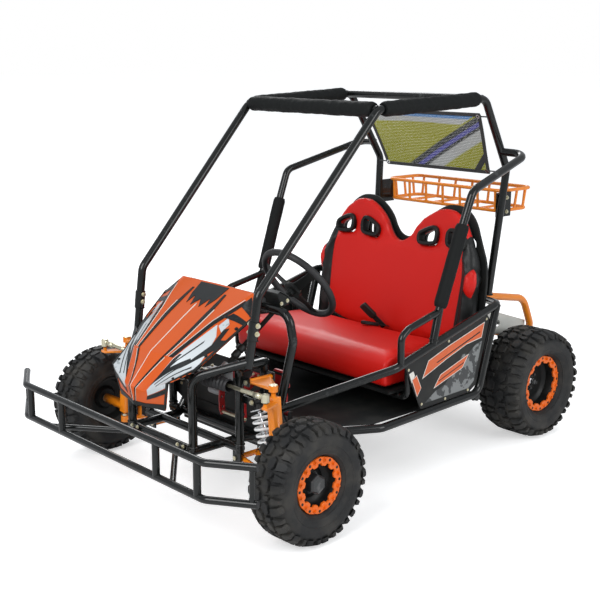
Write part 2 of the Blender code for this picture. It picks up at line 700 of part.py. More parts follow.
def net_cuts():
    """The open cells of the net."""
    origin, up = net_frame()
    inner = up.length - 2 * NET_BINDING
    cuts = []
    for column in range(NET_COLUMNS):
        for row in range(NET_ROWS):
            cell = []
            for u, v in ((0.14, 0.14), (0.86, 0.14), (0.86, 0.86), (0.14, 0.86)):
                height = NET_BINDING + inner * (row + v) / NET_ROWS
                half = net_half_width(height) - NET_BINDING
                cell.append((half * (2 * (column + u) / NET_COLUMNS - 1), height))
            cuts.append(plate(cell, 0.02, origin, (1, 0, 0), up))
    return cuts


def make_net(cord):
    """Rear shade net with its binding, open between its cords."""
    origin, up = net_frame()
    height = up.length
    half_outline = [(net_half_width(0), 0.0), (net_half_width(0.003), 0.003),
                    (NET_TIE_LOW, 0.003), (NET_TIE_LOW, 0.013), (net_half_width(0.013), 0.013),
                    (net_half_width(height - 0.013), height - 0.013), (NET_TIE_TOP, height - 0.013),
                    (NET_TIE_TOP, height - 0.003), (net_half_width(height - 0.003), height - 0.003),
                    (net_half_width(height), height)]
    outline = half_outline + [(-u, v) for u, v in half_outline[::-1]]
    return weld("shade_net", [plate(outline, 0.003, origin, (1, 0, 0), up)], cord, net_cuts())


def make_rack(paint):
    """Rear basket rack: two rings of tube, uprights and floor bars."""
    parts = []
    front, rear, half = 1.165, 1.342, RACK_HALF_X
    low, top = 0.812, 0.885
    for z, inset in ((top, 0.0), (low, 0.010)):
        x, y0, y1 = half - inset, front + inset / 2, rear - inset
        ring = [at(0, y0, z), at(-x, y0, z), at(-x, y1, z), at(x, y1, z), at(x, y0, z), at(0.001, y0, z)]
        parts.append(tube(ring, RACK_R, 0.025, 6))
    for x in (-half, 0.0, half):
        for y in (front, rear):
            inner = x - math.copysign(0.010, x) if abs(x) == half else x
            base = y - 0.010 if y == rear else y + 0.005
            shift = 0.020 if abs(x) == half and y == rear else 0.0
            shift = -0.020 if abs(x) == half and y == front else shift
            parts.append(rod(at(inner, base - shift, low), at(x, y - shift, top), 0.005, 4))
    for x in (-0.12, 0.12):
        parts.append(rod(at(x, front + 0.004, low), at(x, rear - 0.010, low), 0.005, 4))
    return weld("rear_rack", parts, paint)


def make_rear_hoop(paint):
    """Orange rear hoop that runs back from the frame and bends down round the drive."""
    start_y = REAR_CROSS_Y + TUBE_R + GAP
    x = 0.250
    half = [(x, start_y + 0.003, 0.508), (x, 1.355, 0.465), (x, 1.414, 0.340), (x - 0.05, 1.414, 0.292)]
    route = [at(-px, y, z) for px, y, z in half] + [at(*point) for point in half[::-1]]
    parts = [tube(route, BUMPER_R, 0.04)]
    for s in (-1, 1):
        parts.append(block(at(s * x - 0.014, start_y, 0.488), at(s * x + 0.014, start_y + 0.005, 0.526)))
    return weld("rear_hoop", parts, paint)


def make_engine_cover(paint):
    """Folded sheet cover over the drive, open below, with a round hole in each cheek."""
    front = REAR_CROSS_Y + TUBE_R + GAP
    outer = [(front, 0.470), (front, 0.355), (1.392, 0.330), (1.392, 0.372), (1.150, 0.452)]
    body = profile_plate(outer, -0.236, 0.236)
    inner = [(front + 0.003, 0.462), (front + 0.003, 0.30), (1.389, 0.30), (1.389, 0.3700), (1.150, 0.4487)]
    hollow = profile_plate(inner, -0.233, 0.233)
    hole = rod(at(-0.30, 1.225, 0.385), at(0.30, 1.225, 0.385), 0.012, 12)
    lug = block(at(-0.16, front, 0.452), at(0.16, front + 0.003, 0.505))
    return weld("engine_cover", [body, lug], paint, [hollow, hole])


def make_engine(metal):
    """Small finned engine on the cradle plate, with its exhaust."""
    base = 0.286 + GAP
    parts = [block(at(-0.142, 0.985, base), at(-0.018, 1.055, 0.372)),
             rod(at(-0.150, 1.020, 0.330), at(-0.012, 1.020, 0.330), 0.036, 12),
             rod(at(-0.080, 1.020, 0.365), at(-0.080, 1.020, 0.450), 0.026, 10)]
    for i in range(4):
        z = 0.386 + 0.017 * i
        parts.append(block(at(-0.116, 0.984, z), at(-0.044, 1.056, z + 0.005)))
    exhaust = [at(-0.100, 1.040, 0.400), at(-0.125, 1.080, 0.400), at(-0.150, 1.075, 0.340)]
    parts.append(tube(exhaust, 0.011, 0.02, 6))
    parts.append(rod(at(-0.012, *DRIVE_SPROCKET), at(-0.024, *DRIVE_SPROCKET), 0.012, 12))
    return weld("engine", parts, metal)


def make_dash(paint):
    """Dash panel that sits on the knee hoop's cross tube."""
    low = 0.602 + TUBE_R + GAP
    profile = [(0.118, low), (0.152, low), (0.150, low + 0.012), (0.118, 0.648), (0.106, 0.644)]
    return put("dash_panel", profile_plate(profile, -0.170, 0.170), paint)


def make_tyre(name, centre, size, rubber):
    """Tyre: a hollow carcass with a round crown, shoulders and open beads."""
    radius, width, rim_r = size
    half = width / 2
    wall = radius - 0.024
    bead = rim_r / math.cos(math.pi / TYRE_STEPS) + GAP
    middle = (radius + bead) / 2 - 0.004
    profile = [(half * 0.50, bead), (half, middle), (half * 0.90, wall), (half * 0.45, radius),
               (-half * 0.45, radius), (-half * 0.90, wall), (-half, middle), (-half * 0.50, bead),
               (-half * 0.60, wall), (half * 0.60, wall)]
    return hinge_at(put(name, lathe(profile, centre, (1, 0, 0), TYRE_STEPS), rubber), centre)


def make_rim(name, centre, size, s, paint):
    """Steel wheel: a barrel with two flanges and a dished disc, turned as one profile."""
    _, width, rim_r = size
    half = width / 2 * RIM_SHARE
    bore = AXLE_R / math.cos(math.pi / RIM_STEPS) + GAP
    profile = [(-half, rim_r), (half, rim_r), (half + RIM_LIP, rim_r + 0.004), (half + RIM_LIP, rim_r - 0.006),
               (0.006, rim_r - 0.012), (0.012, HUB_R), (0.012, bore),
               (-0.012, bore), (-0.012, HUB_R), (0.000, rim_r - 0.018), (-half, rim_r - 0.006)]
    return hinge_at(put(name, lathe(profile, centre, (s, 0, 0), RIM_STEPS), paint), centre)


def make_ring(name, centre, size, s, paint):
    """Bead ring bolted to the wheel's outer face: a toothed flat ring."""
    _, width, rim_r = size
    face = width / 2 * RIM_SHARE + RIM_LIP + GAP
    outer_r = rim_r + 0.005
    inner_r = outer_r - RING_WIDTH
    teeth = []
    for i in range(RING_TEETH * 2):
        angle = 2 * math.pi * (i + 0.5) / (RING_TEETH * 2)
        radius = inner_r if i % 2 else inner_r + 0.007
        teeth.append((radius * math.cos(angle), radius * math.sin(angle)))
    middle = centre + Vector((s * (face + RING_T / 2), 0, 0))
    edge = RING_T / 2
    disc = lathe([(-edge, 0), (-edge, outer_r), (edge, outer_r), (edge, 0)], middle, (1, 0, 0), 24)
    return hinge_at(weld(name, [disc], paint, [plate(teeth, 0.03, middle, (0, 1, 0), (0, 0, 1))]), centre)


def make_wheel(end, tag, centre, size, s, paints):
    """Tyre, rim and bead ring of one wheel; size is tyre radius, tyre width and rim radius."""
    black, orange, rubber = paints
    make_tyre(end + "_tyre_" + tag, centre, size, rubber)
    make_rim(end + "_rim_" + tag, centre, size, s, black)
    make_ring(end + "_ring_" + tag, centre, size, s, orange)


def shock_line(low, top):
    """Direction and length of a damper."""
    line = top - low
    return line.normalized(), line.length


def coil(start, axis, length, radius, wire, turns):
    """A spring from start along axis, as one unbroken wire; returns mesh and least gap."""
    normal = axis.orthogonal().normalized()
    side = axis.cross(normal)
    per_turn = 8
    count = round(turns * per_turn)
    path = []
    for i in range(count + 1):
        angle = 2 * math.pi * i / per_turn
        spot = start + axis * (wire + (length - 2 * wire) * i / count)
        path.append(spot + radius * (normal * math.cos(angle) + side * math.sin(angle)))
    gap = min((path[i] - path[j]).length for i in range(len(path)) for j in range(i + per_turn - 2, len(path)))
    return sweep(path, [wire] * len(path), 5), gap - 2 * wire


def make_shock(tag, low, top, sizes, across, steel, metal):
    """Coil-over damper: lower tube and upper rod with their eyes, and the spring."""
    spring_r, wire, turns = sizes
    across = Vector(across) * EYE_HALF
    axis, length = shock_line(low, top)
    eye, seat = 0.009, 0.024
    cup = spring_r + wire + 0.001
    body = [rod(low - across, low + across, eye, 8),
            rod(low + axis * 0.004, low + axis * length * 0.60, 0.0110, 8),
            lathe([(seat - 0.004, 0), (seat - 0.004, cup - 0.004), (seat, cup), (seat, 0)], low, axis, 10)]
    bore = rod(low + axis * length * 0.32, low + axis * length * 0.80, DAMPER_ROD_R + 0.0008 + GAP, 6)
    hinge_at(weld("shock_body_" + tag, body, metal, [bore]), low)
    rod_parts = [rod(top - across, top + across, eye, 8),
                 rod(low + axis * length * 0.42, top - axis * 0.004, DAMPER_ROD_R, 6),
                 lathe([(-seat, 0), (-seat, cup), (0.004 - seat, cup - 0.004), (0.004 - seat, 0)],
                       top, axis, 10)]
    hinge_at(weld("shock_rod_" + tag, rod_parts, metal), top)
    mesh, gap = coil(low + axis * (seat + GAP), axis, length - 2 * seat - 2 * GAP, spring_r, wire, turns)
    print("spring_" + tag, "least gap to itself in mm:", round(gap * 1000, 2))
    return put("spring_" + tag, mesh, steel)


def pivot_ends(s, x, z):
    """Both ends of a wishbone's pivot tube, just inside the frame's ears."""
    return (at(s * x, TOWER_FRONT_Y + 0.003 + GAP, z), at(s * x, TOWER_REAR_Y - 0.003 - GAP, z))


def make_lower_arm(tag, s, paint):
    """Lower wishbone with its ball socket and the ears of the damper's foot."""
    front, rear = pivot_ends(s, LOWER_PIVOT_X, LOWER_PIVOT_Z)
    socket = at(s * LOWER_BALL[0], LOWER_BALL[1], LOWER_BALL[2])
    tip = socket + Vector((-s * 0.010, 0.003, -0.003))
    parts = [rod(front, rear, PIVOT_R, 8), rod(front + Vector((0, 0.012, 0)), tip, 0.0085, 6),
             rod(rear - Vector((0, 0.012, 0)), tip, 0.0085, 6)]
    lx, lz = FRONT_SHOCK_LOW
    seat_x = sorted((s * (lx - 0.016), s * (lx + 0.012)))
    parts.append(block(at(seat_x[0], SHOCK_Y - 0.022, 0.146), at(seat_x[1], SHOCK_Y + 0.022, 0.152)))
    for y in (SHOCK_Y - EYE_HALF - GAP - EAR_T / 2, SHOCK_Y + EYE_HALF + GAP + EAR_T / 2):
        ear = sorted((s * (lx - 0.009), s * (lx + 0.009)))
        parts.append(block(at(ear[0], y - EAR_T / 2, 0.148), at(ear[1], y + EAR_T / 2, lz + 0.009)))
    parts.append(rod(socket - Vector((0, 0, 0.011)), socket + Vector((0, 0, SOCKET_TOP)), 0.016, 10))
    return hinge_at(weld("lower_arm_" + tag, parts, paint), at(s * LOWER_PIVOT_X, 0, LOWER_PIVOT_Z))


def kingpin_line(s):
    """Lower ball, upper ball, direction and length between them."""
    socket = at(s * LOWER_BALL[0], LOWER_BALL[1], LOWER_BALL[2])
    ball = at(s * UPPER_BALL[0], UPPER_BALL[1], UPPER_BALL[2])
    direction, length = shock_line(socket, ball)
    return socket, ball, direction, length


def make_ball_stud(tag, s, zinc):
    """Stud of the lower ball joint; its collar clears the socket at full arm travel."""
    socket, _, kingpin, _ = kingpin_line(s)
    collar = socket + Vector((0, 0, STUD_COLLAR_Z))
    neck = socket + Vector((0, 0, STUD_NECK_Z))
    parts = [rod(collar, collar + Vector((0, 0, 0.0066)), 0.013, 10),
             rod(neck, collar + Vector((0, 0, 0.003)), 0.004, 6),
             rod(socket + kingpin * 0.013, socket + kingpin * 0.024, 0.006, 8)]
    return hinge_at(weld("ball_stud_" + tag, parts, zinc), socket)


def arm_plate(corners, half):
    """A flat plate between four corners, with one thickness straight up and down."""
    bm = bmesh.new()
    rings = [[bm.verts.new(p + Vector((0, 0, dz))) for p in corners] for dz in (-half, half)]
    for i in range(4):
        j = (i + 1) % 4
        bm.faces.new((rings[0][i], rings[0][j], rings[1][j], rings[1][i]))
    bm.faces.new(rings[0][::-1])
    bm.faces.new(rings[1])
    return solid(bm)


def make_upper_arm(tag, s, paint):
    """Upper wishbone: a plate with its pivot tube and the boss of the upper ball."""
    front, rear = pivot_ends(s, UPPER_PIVOT_X, UPPER_PIVOT_Z)
    _, ball, _, _ = kingpin_line(s)
    outer = ball + Vector((0, 0, 0.014))
    corners = [front + Vector((0, 0.004, 0)), rear - Vector((0, 0.004, 0)),
               outer + Vector((0, 0.014, 0)), outer - Vector((0, 0.012, 0))]
    parts = [rod(front, rear, PIVOT_R, 8), arm_plate(corners, 0.004),
             rod(ball + Vector((0, 0, 0.004)), ball + Vector((0, 0, 0.022)), 0.014, 10)]
    return hinge_at(weld("upper_arm_" + tag, parts, paint), at(s * UPPER_PIVOT_X, 0, UPPER_PIVOT_Z))


def make_knuckle(tag, s, paint):
    """Knuckle: kingpin column, wheel boss with its stub axle, and steering arm."""
    socket, ball, kingpin, length = kingpin_line(s)
    base = socket + kingpin * (0.024 + GAP)
    top = socket + kingpin * (length - 0.012)
    across = Vector((1, 0, 0))
    box = [(0.014, -0.015), (0.014, 0.015), (-0.014, 0.015), (-0.014, -0.015)]
    column = plate(box, (top - base).length, (base + top) / 2, across - kingpin * kingpin.x, (0, 1, 0))
    centre = at(s * 0.394, 0, FRONT_TYRE_R)
    boss_end = at(s * (FRONT_TRACK / 2 - 0.012 - GAP), 0, FRONT_TYRE_R)
    stub_end = at(s * (FRONT_TRACK / 2 + 0.016), 0, FRONT_TYRE_R)
    tie = at(s * TIE_BALL[0], TIE_BALL[1], TIE_BALL[2])
    root = at(s * 0.380, 0, STEER_ARM_Z)
    arm = plate([(0, 0), (0.010, -0.020), (0.078, -0.012), (0.078, 0.012), (0.010, 0.020)], 0.008,
                root, tie - at(s * 0.380, 0, TIE_BALL[2]), (1, 0, 0))
    pin_top = TIE_BALL[2] - 0.0115 - 0.0035
    parts = [column, rod(centre, boss_end, 0.017, 10), rod(centre, stub_end, AXLE_R, 16), arm,
             rod(Vector((tie.x, tie.y, STEER_ARM_Z)), Vector((tie.x, tie.y, pin_top)), 0.006, 10),
             rod(top - kingpin * 0.002, ball + Vector((0, 0, 0.002)), 0.007, 8)]
    return hinge_at(weld("knuckle_" + tag, parts, paint), socket)


def make_tie_rod(tag, s, zinc):
    """Tie rod with a slim inner end, a lock nut and the eye of its outer ball."""
    start = at(s * (RACK_HALF + 0.004 + GAP), RACK_Y, RACK_Z)
    end = at(s * TIE_BALL[0], TIE_BALL[1], TIE_BALL[2])
    line = (end - start).normalized()
    path = [start, start + line * 0.004, end]
    parts = [sweep(path, [0.0032, TIE_ROD_R, TIE_ROD_R], 10),
             rod(end - Vector((0, 0, 0.0115)), end + Vector((0, 0, 0.010)), 0.0125, 12),
             rod(along(start, end, 0.82), along(start, end, 0.93), 0.009, 6)]
    return hinge_at(weld("tie_rod_" + tag, parts, zinc), start)


def make_front_corner(tag, s, paint, zinc, steel, metal):
    """Every moving piece of one front corner."""
    make_lower_arm(tag, s, paint)
    make_ball_stud(tag, s, zinc)
    make_upper_arm(tag, s, paint)
    make_knuckle(tag, s, paint)
    make_tie_rod(tag, s, zinc)
    low = at(s * FRONT_SHOCK_LOW[0], SHOCK_Y, FRONT_SHOCK_LOW[1])
    top = at(s * FRONT_SHOCK_TOP[0], SHOCK_Y, FRONT_SHOCK_TOP[1])
    make_shock("front_" + tag, low, top, (SPRING_R, SPRING_WIRE_R, FRONT_SPRING_TURNS), (0, 1, 0), steel, metal)


def column_line():
    """Direction of the steering column, the wheel's centre, its hub and the column's foot."""
    axis = Vector((0, math.cos(WHEEL_TILT), math.sin(WHEEL_TILT)))
    centre = at(STEER_X, WHEEL_CENTRE_Y, WHEEL_CENTRE_Z)
    foot = centre - axis * ((WHEEL_CENTRE_Y - COLUMN_FOOT_Y) / axis.y)
    return axis, centre, centre - axis * 0.030, foot


def make_steering_wheel(black):
    """Steering wheel: rim, three spokes and hub, dished towards the column."""
    axis, centre, hub, _ = column_line()
    ring = []
    for i in range(6):
        angle = 2 * math.pi * i / 6
        ring.append((STEER_RIM_TUBE * math.sin(angle), STEER_RIM_R + STEER_RIM_TUBE * math.cos(angle)))
    parts = [lathe(ring, centre, axis, 20), rod(hub - axis * 0.006, hub + axis * 0.006, 0.030, 16)]
    right = Vector((1, 0, 0))
    up = axis.cross(right)
    for angle in (math.radians(90), math.radians(210), math.radians(330)):
        out = right * math.cos(angle) + up * math.sin(angle)
        end = centre + out * (STEER_RIM_R - 0.004) - axis * 0.003
        line = end - hub
        spoke = [(0, -0.013), (line.length, -0.010), (line.length, 0.010), (0, 0.013)]
        parts.append(plate(spoke, 0.004, hub, line, axis.cross(line)))
    return hinge_at(weld("steering_wheel", parts, black), centre)


def make_steering_shaft(zinc):
    """Steering shaft with the collar under the wheel's hub."""
    axis, centre, hub, foot = column_line()
    start = hub - axis * (0.006 + GAP)
    parts = [rod(foot, start, SHAFT_R, 12), rod(start - axis * 0.012, start, 0.014, 14)]
    return hinge_at(weld("steering_shaft", parts, zinc), centre)


def boot_profile():
    """Outline of one bellows, which flares enough for the tie rod to swing inside."""
    profile = [(RACK_HALF - 0.02, 0)]
    for i in range(2):
        along_x = RACK_HALF - 0.005 + (BOOT_END - RACK_HALF) * i / 2
        radius = 0.0245 - 0.0015 * i
        profile += [(along_x, radius), (along_x + 0.030, radius - 0.0025)]
    return profile + [(BOOT_END, 0.0200), (BOOT_END, 0)]


def make_rack_housing(black):
    """Rack case with both bellows, its clamps and the pinion's nose, bored for the bar."""
    axis, _, _, foot = column_line()
    parts = [rod(at(-RACK_HALF, RACK_Y, RACK_Z), at(RACK_HALF, RACK_Y, RACK_Z), 0.018, 12)]
    parts += [lathe(boot_profile(), at(0, RACK_Y, RACK_Z), (s, 0, 0), 10) for s in (-1, 1)]
    parts.append(block(at(0.095, RACK_Y - 0.004, RACK_Z - 0.016), at(0.140, -0.002, RACK_Z + 0.020)))
    parts.append(block(at(0.100, -0.034, RACK_Z - 0.016), at(STEER_X + 0.016, -0.002, RACK_Z + 0.022)))
    parts.append(rod(foot - axis * 0.030, foot - axis * GAP, 0.013, 12))
    clamp_y = -0.130 + TUBE_R + GAP
    for x in (-0.09, 0.09):
        parts.append(block(at(x - 0.012, clamp_y, RACK_Z - 0.010), at(x + 0.012, RACK_Y, RACK_Z + 0.010)))
        parts.append(block(at(x - 0.012, clamp_y, RACK_Z - 0.010),
                           at(x + 0.012, clamp_y + 0.004, FRONT_TOP_Z + 0.008)))
    bores = [rod(at(-0.30, RACK_Y, RACK_Z), at(0.30, RACK_Y, RACK_Z), 0.0085, 12)]
    for s in (-1, 1):
        bores.append(rod(at(s * (RACK_HALF + 0.002), RACK_Y, RACK_Z), at(s * 0.30, RACK_Y, RACK_Z),
                         BOOT_BORE_R, 10))
    return weld("rack_housing", parts, black, bores)


def make_rack_bar(zinc):
    """Sliding bar of the steering rack."""
    half = RACK_HALF + 0.004
    return put("rack_bar", rod(at(-half, RACK_Y, RACK_Z), at(half, RACK_Y, RACK_Z), 0.0078, 12), zinc)


def make_pedal(name, x, paint):
    """Floor-mounted foot pedal on its own pivot, with a ribbed pad."""
    pivot = at(x, PEDAL_Y, PEDAL_Z)
    parts = [rod(pivot - Vector((PEDAL_HALF, 0, 0)), pivot + Vector((PEDAL_HALF, 0, 0)), 0.008, 12),
             tube([pivot, pivot + Vector((0, 0.006, 0.055)), pivot + Vector((0, -0.012, 0.105))],
                  0.006, 0.03, 8)]
    for i in range(3):
        low = pivot + Vector((-0.028, -0.016 - 0.004 * i, 0.090 + 0.018 * i))
        parts.append(block(low, low + Vector((0.056, 0.012, 0.013))))
    parts.append(block(pivot + Vector((-0.024, -0.024, 0.086)), pivot + Vector((0.024, -0.014, 0.144))))
    return hinge_at(weld(name, parts, paint), pivot)


def make_swing_arm(paint):
    """Rear swing arm: pivot tube, two blades, a brace and the axle's bearing rings."""
    parts = [rod(at(-SWING_X - 0.024, SWING_Y, SWING_Z), at(SWING_X + 0.024, SWING_Y, SWING_Z), 0.0125, 8),
             rod(at(-SWING_X, BRACE_Y, 0.204), at(SWING_X, BRACE_Y, 0.204), 0.0120, 8)]
    for x in (-SWING_X, SWING_X):
        parts.append(rod(at(x, SWING_Y, SWING_Z), at(x, REAR_AXLE_Y - 0.020, REAR_TYRE_R), 0.0125, 8))
        parts.append(rod(at(x - 0.016, REAR_AXLE_Y, REAR_TYRE_R), at(x + 0.016, REAR_AXLE_Y, REAR_TYRE_R),
                         0.030, 12))
    y, z = REAR_SHOCK_LOW
    for x in (REAR_SHOCK_X - EYE_HALF - GAP - EAR_T / 2, REAR_SHOCK_X + EYE_HALF + GAP + EAR_T / 2):
        parts.append(block(at(x - EAR_T / 2, y - 0.009, 0.200), at(x + EAR_T / 2, y + 0.009, z + 0.009)))
    bore_r = AXLE_R / math.cos(math.pi / 12) + GAP
    bore = rod(at(-0.30, REAR_AXLE_Y, REAR_TYRE_R), at(0.30, REAR_AXLE_Y, REAR_TYRE_R), bore_r, 12)
    return hinge_at(weld("swing_arm", parts, paint, [bore]), at(0, SWING_Y, SWING_Z))


def sprocket_outline(radius, count):
    """Toothed outline for a small sprocket."""
    points = []
    for i in range(count * 2):
        angle = 2 * math.pi * i / (count * 2)
        r = radius - (0.0 if i % 2 else 0.006)
        points.append((r * math.cos(angle), r * math.sin(angle)))
    return points


def axle_collar(start, end, radius, sides=8):
    """A round piece on the rear axle between two places across the kart."""
    return rod(at(start, REAR_AXLE_Y, REAR_TYRE_R), at(end, REAR_AXLE_Y, REAR_TYRE_R), radius, sides)


def make_rear_axle(steel):
    """Live axle with its chain sprocket, brake disc and wheel hubs."""
    wheel = REAR_TRACK / 2
    parts = [axle_collar(-wheel - 0.020, wheel + 0.020, AXLE_R, 16)]
    for s in (-1, 1):
        inner = s * (wheel - 0.012 - GAP)
        parts.append(axle_collar(inner, inner - s * 0.060, 0.024))
    centre = at(CHAIN_X, REAR_AXLE_Y, REAR_TYRE_R)
    parts.append(plate(sprocket_outline(AXLE_SPROCKET_R, 16), 0.004, centre, (0, 1, 0), (0, 0, 1)))
    parts.append(axle_collar(CHAIN_X - 0.010, CHAIN_X + 0.012, 0.026))
    parts.append(axle_collar(-0.120, -0.116, 0.060, 12))
    parts.append(axle_collar(-0.128, -0.108, 0.024))
    return hinge_at(weld("rear_axle", parts, steel), at(0, REAR_AXLE_Y, REAR_TYRE_R))


def chain_loop(small, big, r_small, r_big):
    """Outline of a belt round two circles, as (y, z) points."""
    line = Vector((big.y - small.y, big.z - small.z))
    lean = math.atan2(line.y, line.x)
    open_angle = math.acos((r_small - r_big) / line.length)
    points = []
    for i in range(13):
        angle = lean + open_angle + (2 * math.pi - 2 * open_angle) * i / 12
        points.append((small.y + r_small * math.cos(angle), small.z + r_small * math.sin(angle)))
    for i in range(19):
        angle = lean - open_angle + 2 * open_angle * i / 18
        points.append((big.y + r_big * math.cos(angle), big.z + r_big * math.sin(angle)))
    return points


def make_drive(steel):
    """Engine sprocket and the chain that joins it to the axle."""
    y, z = DRIVE_SPROCKET
    small = at(CHAIN_X, y, z)
    parts = [plate(sprocket_outline(DRIVE_SPROCKET_R, 12), 0.004, small, (0, 1, 0), (0, 0, 1)),
             rod(at(-0.012 + GAP, y, z), at(CHAIN_X + 0.006, y, z), 0.009, 12)]
    hinge_at(weld("drive_sprocket", parts, steel), small)
    big = at(CHAIN_X, REAR_AXLE_Y, REAR_TYRE_R)
    outside = chain_loop(small, big, DRIVE_SPROCKET_R + CHAIN_T, AXLE_SPROCKET_R + CHAIN_T)
    inside = chain_loop(small, big, DRIVE_SPROCKET_R + GAP, AXLE_SPROCKET_R + GAP)
    middle = Vector((CHAIN_X, 0, 0))
    loop = plate(outside, 0.010, middle, (0, 1, 0), (0, 0, 1))
    return weld("drive_chain", [loop], steel, [plate(inside, 0.030, middle, (0, 1, 0), (0, 0, 1))])


def build():
    """Make every piece of the kart."""
    clear_scene()
    black = finish("black frame paint", (0.012, 0.013, 0.014), 0.35)
    dark = finish("satin black", (0.02, 0.02, 0.022), 0.5)
    orange = finish("orange paint", (0.85, 0.22, 0.02), 0.35)
    hood = finish("orange body moulding", (0.78, 0.18, 0.04), 0.3)
    red = finish("red vinyl", (0.55, 0.015, 0.012), 0.45)
    foam = finish("black foam cover", (0.02, 0.022, 0.022), 0.8)
    rubber = finish("tyre rubber", (0.02, 0.021, 0.022), 0.85)
    zinc = finish("zinc plate", (0.72, 0.68, 0.50), 0.3, 0.9)
    steel = finish("spring steel", (0.75, 0.76, 0.78), 0.3, 0.8)
    grey = finish("pale grey sheet", (0.62, 0.62, 0.58), 0.45)
    alloy = finish("cast alloy", (0.42, 0.43, 0.44), 0.5, 0.8)

    make_lower_frame(black)
    make_floor_pan(black)
    make_bumper(black)
    make_cage(black)
    make_pads(foam)
    make_hood(hood)
    make_side_panel("side_panel_left", 1, dark)
    make_side_panel("side_panel_right", -1, dark)
    make_seat_back(red, dark)
    make_cushion(red)
    make_net(foam)
    make_rack(orange)
    make_rear_hoop(orange)
    make_engine_cover(grey)
    make_engine(alloy)
    make_dash(dark)
    make_steering_wheel(dark)
    make_steering_shaft(zinc)
    make_rack_housing(dark)
    make_rack_bar(zinc)
    make_pedal("brake_pedal", BRAKE_X, dark)
    make_pedal("throttle_pedal", THROTTLE_X, dark)
    make_swing_arm(black)
    make_rear_axle(alloy)
    make_drive(alloy)
    make_shock("rear", at(REAR_SHOCK_X, *REAR_SHOCK_LOW), at(REAR_SHOCK_X, *REAR_SHOCK_TOP),
               (REAR_SPRING_R, REAR_SPRING_WIRE_R, REAR_SPRING_TURNS), (1, 0, 0), steel, alloy)
    for tag, s in (("left", 1), ("right", -1)):
        make_front_corner(tag, s, orange, zinc, steel, alloy)
        hub = at(s * FRONT_TRACK / 2, 0, FRONT_TYRE_R)
        make_wheel("front", tag, hub, FRONT_WHEEL, s, (dark, orange, rubber))
        hub = at(s * REAR_TRACK / 2, REAR_AXLE_Y, REAR_TYRE_R)
        make_wheel("rear", tag, hub, REAR_WHEEL, s, (dark, orange, rubber))


build()
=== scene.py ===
# %% [markdown]
# A two-seat off-road racing kart: a welded tube frame with a roll cage, padded bench seat, moulded hood,
# knobby tyres and a rear net. The CAD model gives every piece its place and size. This notebook gives each
# piece the finish that the eye sees: round tubes, sewn pads, tread, bolts and paint.

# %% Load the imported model
import math

import bmesh
import bpy
from mathutils import Matrix, Vector, noise


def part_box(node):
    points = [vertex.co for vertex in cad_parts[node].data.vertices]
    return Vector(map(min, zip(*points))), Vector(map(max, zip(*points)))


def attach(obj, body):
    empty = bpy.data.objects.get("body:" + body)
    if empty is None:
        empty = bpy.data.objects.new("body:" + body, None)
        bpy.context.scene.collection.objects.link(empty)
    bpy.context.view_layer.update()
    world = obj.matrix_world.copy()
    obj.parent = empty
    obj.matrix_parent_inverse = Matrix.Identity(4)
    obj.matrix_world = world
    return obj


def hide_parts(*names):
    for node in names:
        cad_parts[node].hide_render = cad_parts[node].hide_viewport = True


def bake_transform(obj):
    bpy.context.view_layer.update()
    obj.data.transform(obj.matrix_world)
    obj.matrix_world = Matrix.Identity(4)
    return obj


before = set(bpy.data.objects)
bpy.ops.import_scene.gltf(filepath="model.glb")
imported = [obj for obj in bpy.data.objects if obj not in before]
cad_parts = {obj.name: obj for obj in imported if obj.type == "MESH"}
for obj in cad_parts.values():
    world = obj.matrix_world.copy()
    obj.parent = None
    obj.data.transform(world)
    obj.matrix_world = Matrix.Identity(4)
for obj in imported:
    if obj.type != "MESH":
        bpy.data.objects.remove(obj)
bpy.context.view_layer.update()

AXLE_Y = -0.543
SIDES = (("left", 1), ("right", -1))


def kart(x, y, z):
    """A point measured from the front axle, as a place in the kart's own frame."""
    return Vector((x, AXLE_Y + y, z))


def add_node(tree, kind, feeds=None, **settings):
    """A new node with its settings; each input is fed by a plain value or by another node's socket."""
    node = tree.nodes.new(kind)
    for title, value in settings.items():
        setattr(node, title, value)
    for title, value in (feeds or {}).items():
        if isinstance(value, bpy.types.NodeSocket):
            tree.links.new(value, node.inputs[title])
        else:
            node.inputs[title].default_value = value
    return node


def new_material(name, values):
    """A material with plain numbers on its shader's own sockets, its node tree and its shader."""
    material = bpy.data.materials.new(name)
    material.use_nodes = True
    shader = material.node_tree.nodes["Principled BSDF"]
    for title, value in values.items():
        shader.inputs[title].default_value = value
    return material, material.node_tree, shader


# %% [markdown]
# The photograph was taken from the kart's front left, a little above its wheels. The camera is found from the
# frame's straight tubes and the four wheels, so the render can be laid over the photograph.

# %% Camera
camera_data = bpy.data.cameras.new("camera")
camera_data.sensor_width = 36
camera_data.lens = 66.1
camera = bpy.data.objects.new("camera", camera_data)
bpy.context.scene.collection.objects.link(camera)
bpy.context.scene.camera = camera
yaw, pitch, roll = (math.radians(angle) for angle in (47.54, 12.60, 0.15))
backwards = Vector((math.sin(yaw) * math.cos(pitch), -math.cos(yaw) * math.cos(pitch), math.sin(pitch)))
camera.location = Vector((2.669, -1.996 + AXLE_Y, 1.359))
camera.rotation_mode = "QUATERNION"
camera.rotation_quaternion = backwards.to_track_quat("Z", "Y") @ Matrix.Rotation(roll, 3, "Z").to_quaternion()
print("camera stands", round(camera.location.length, 2), "m from the kart")

# %% [markdown]
# A product photograph on white has one broad soft light above and in front, and pale surroundings that the
# glossy tubes reflect. The world is white to the camera and softer to the kart, so black paint stays black.

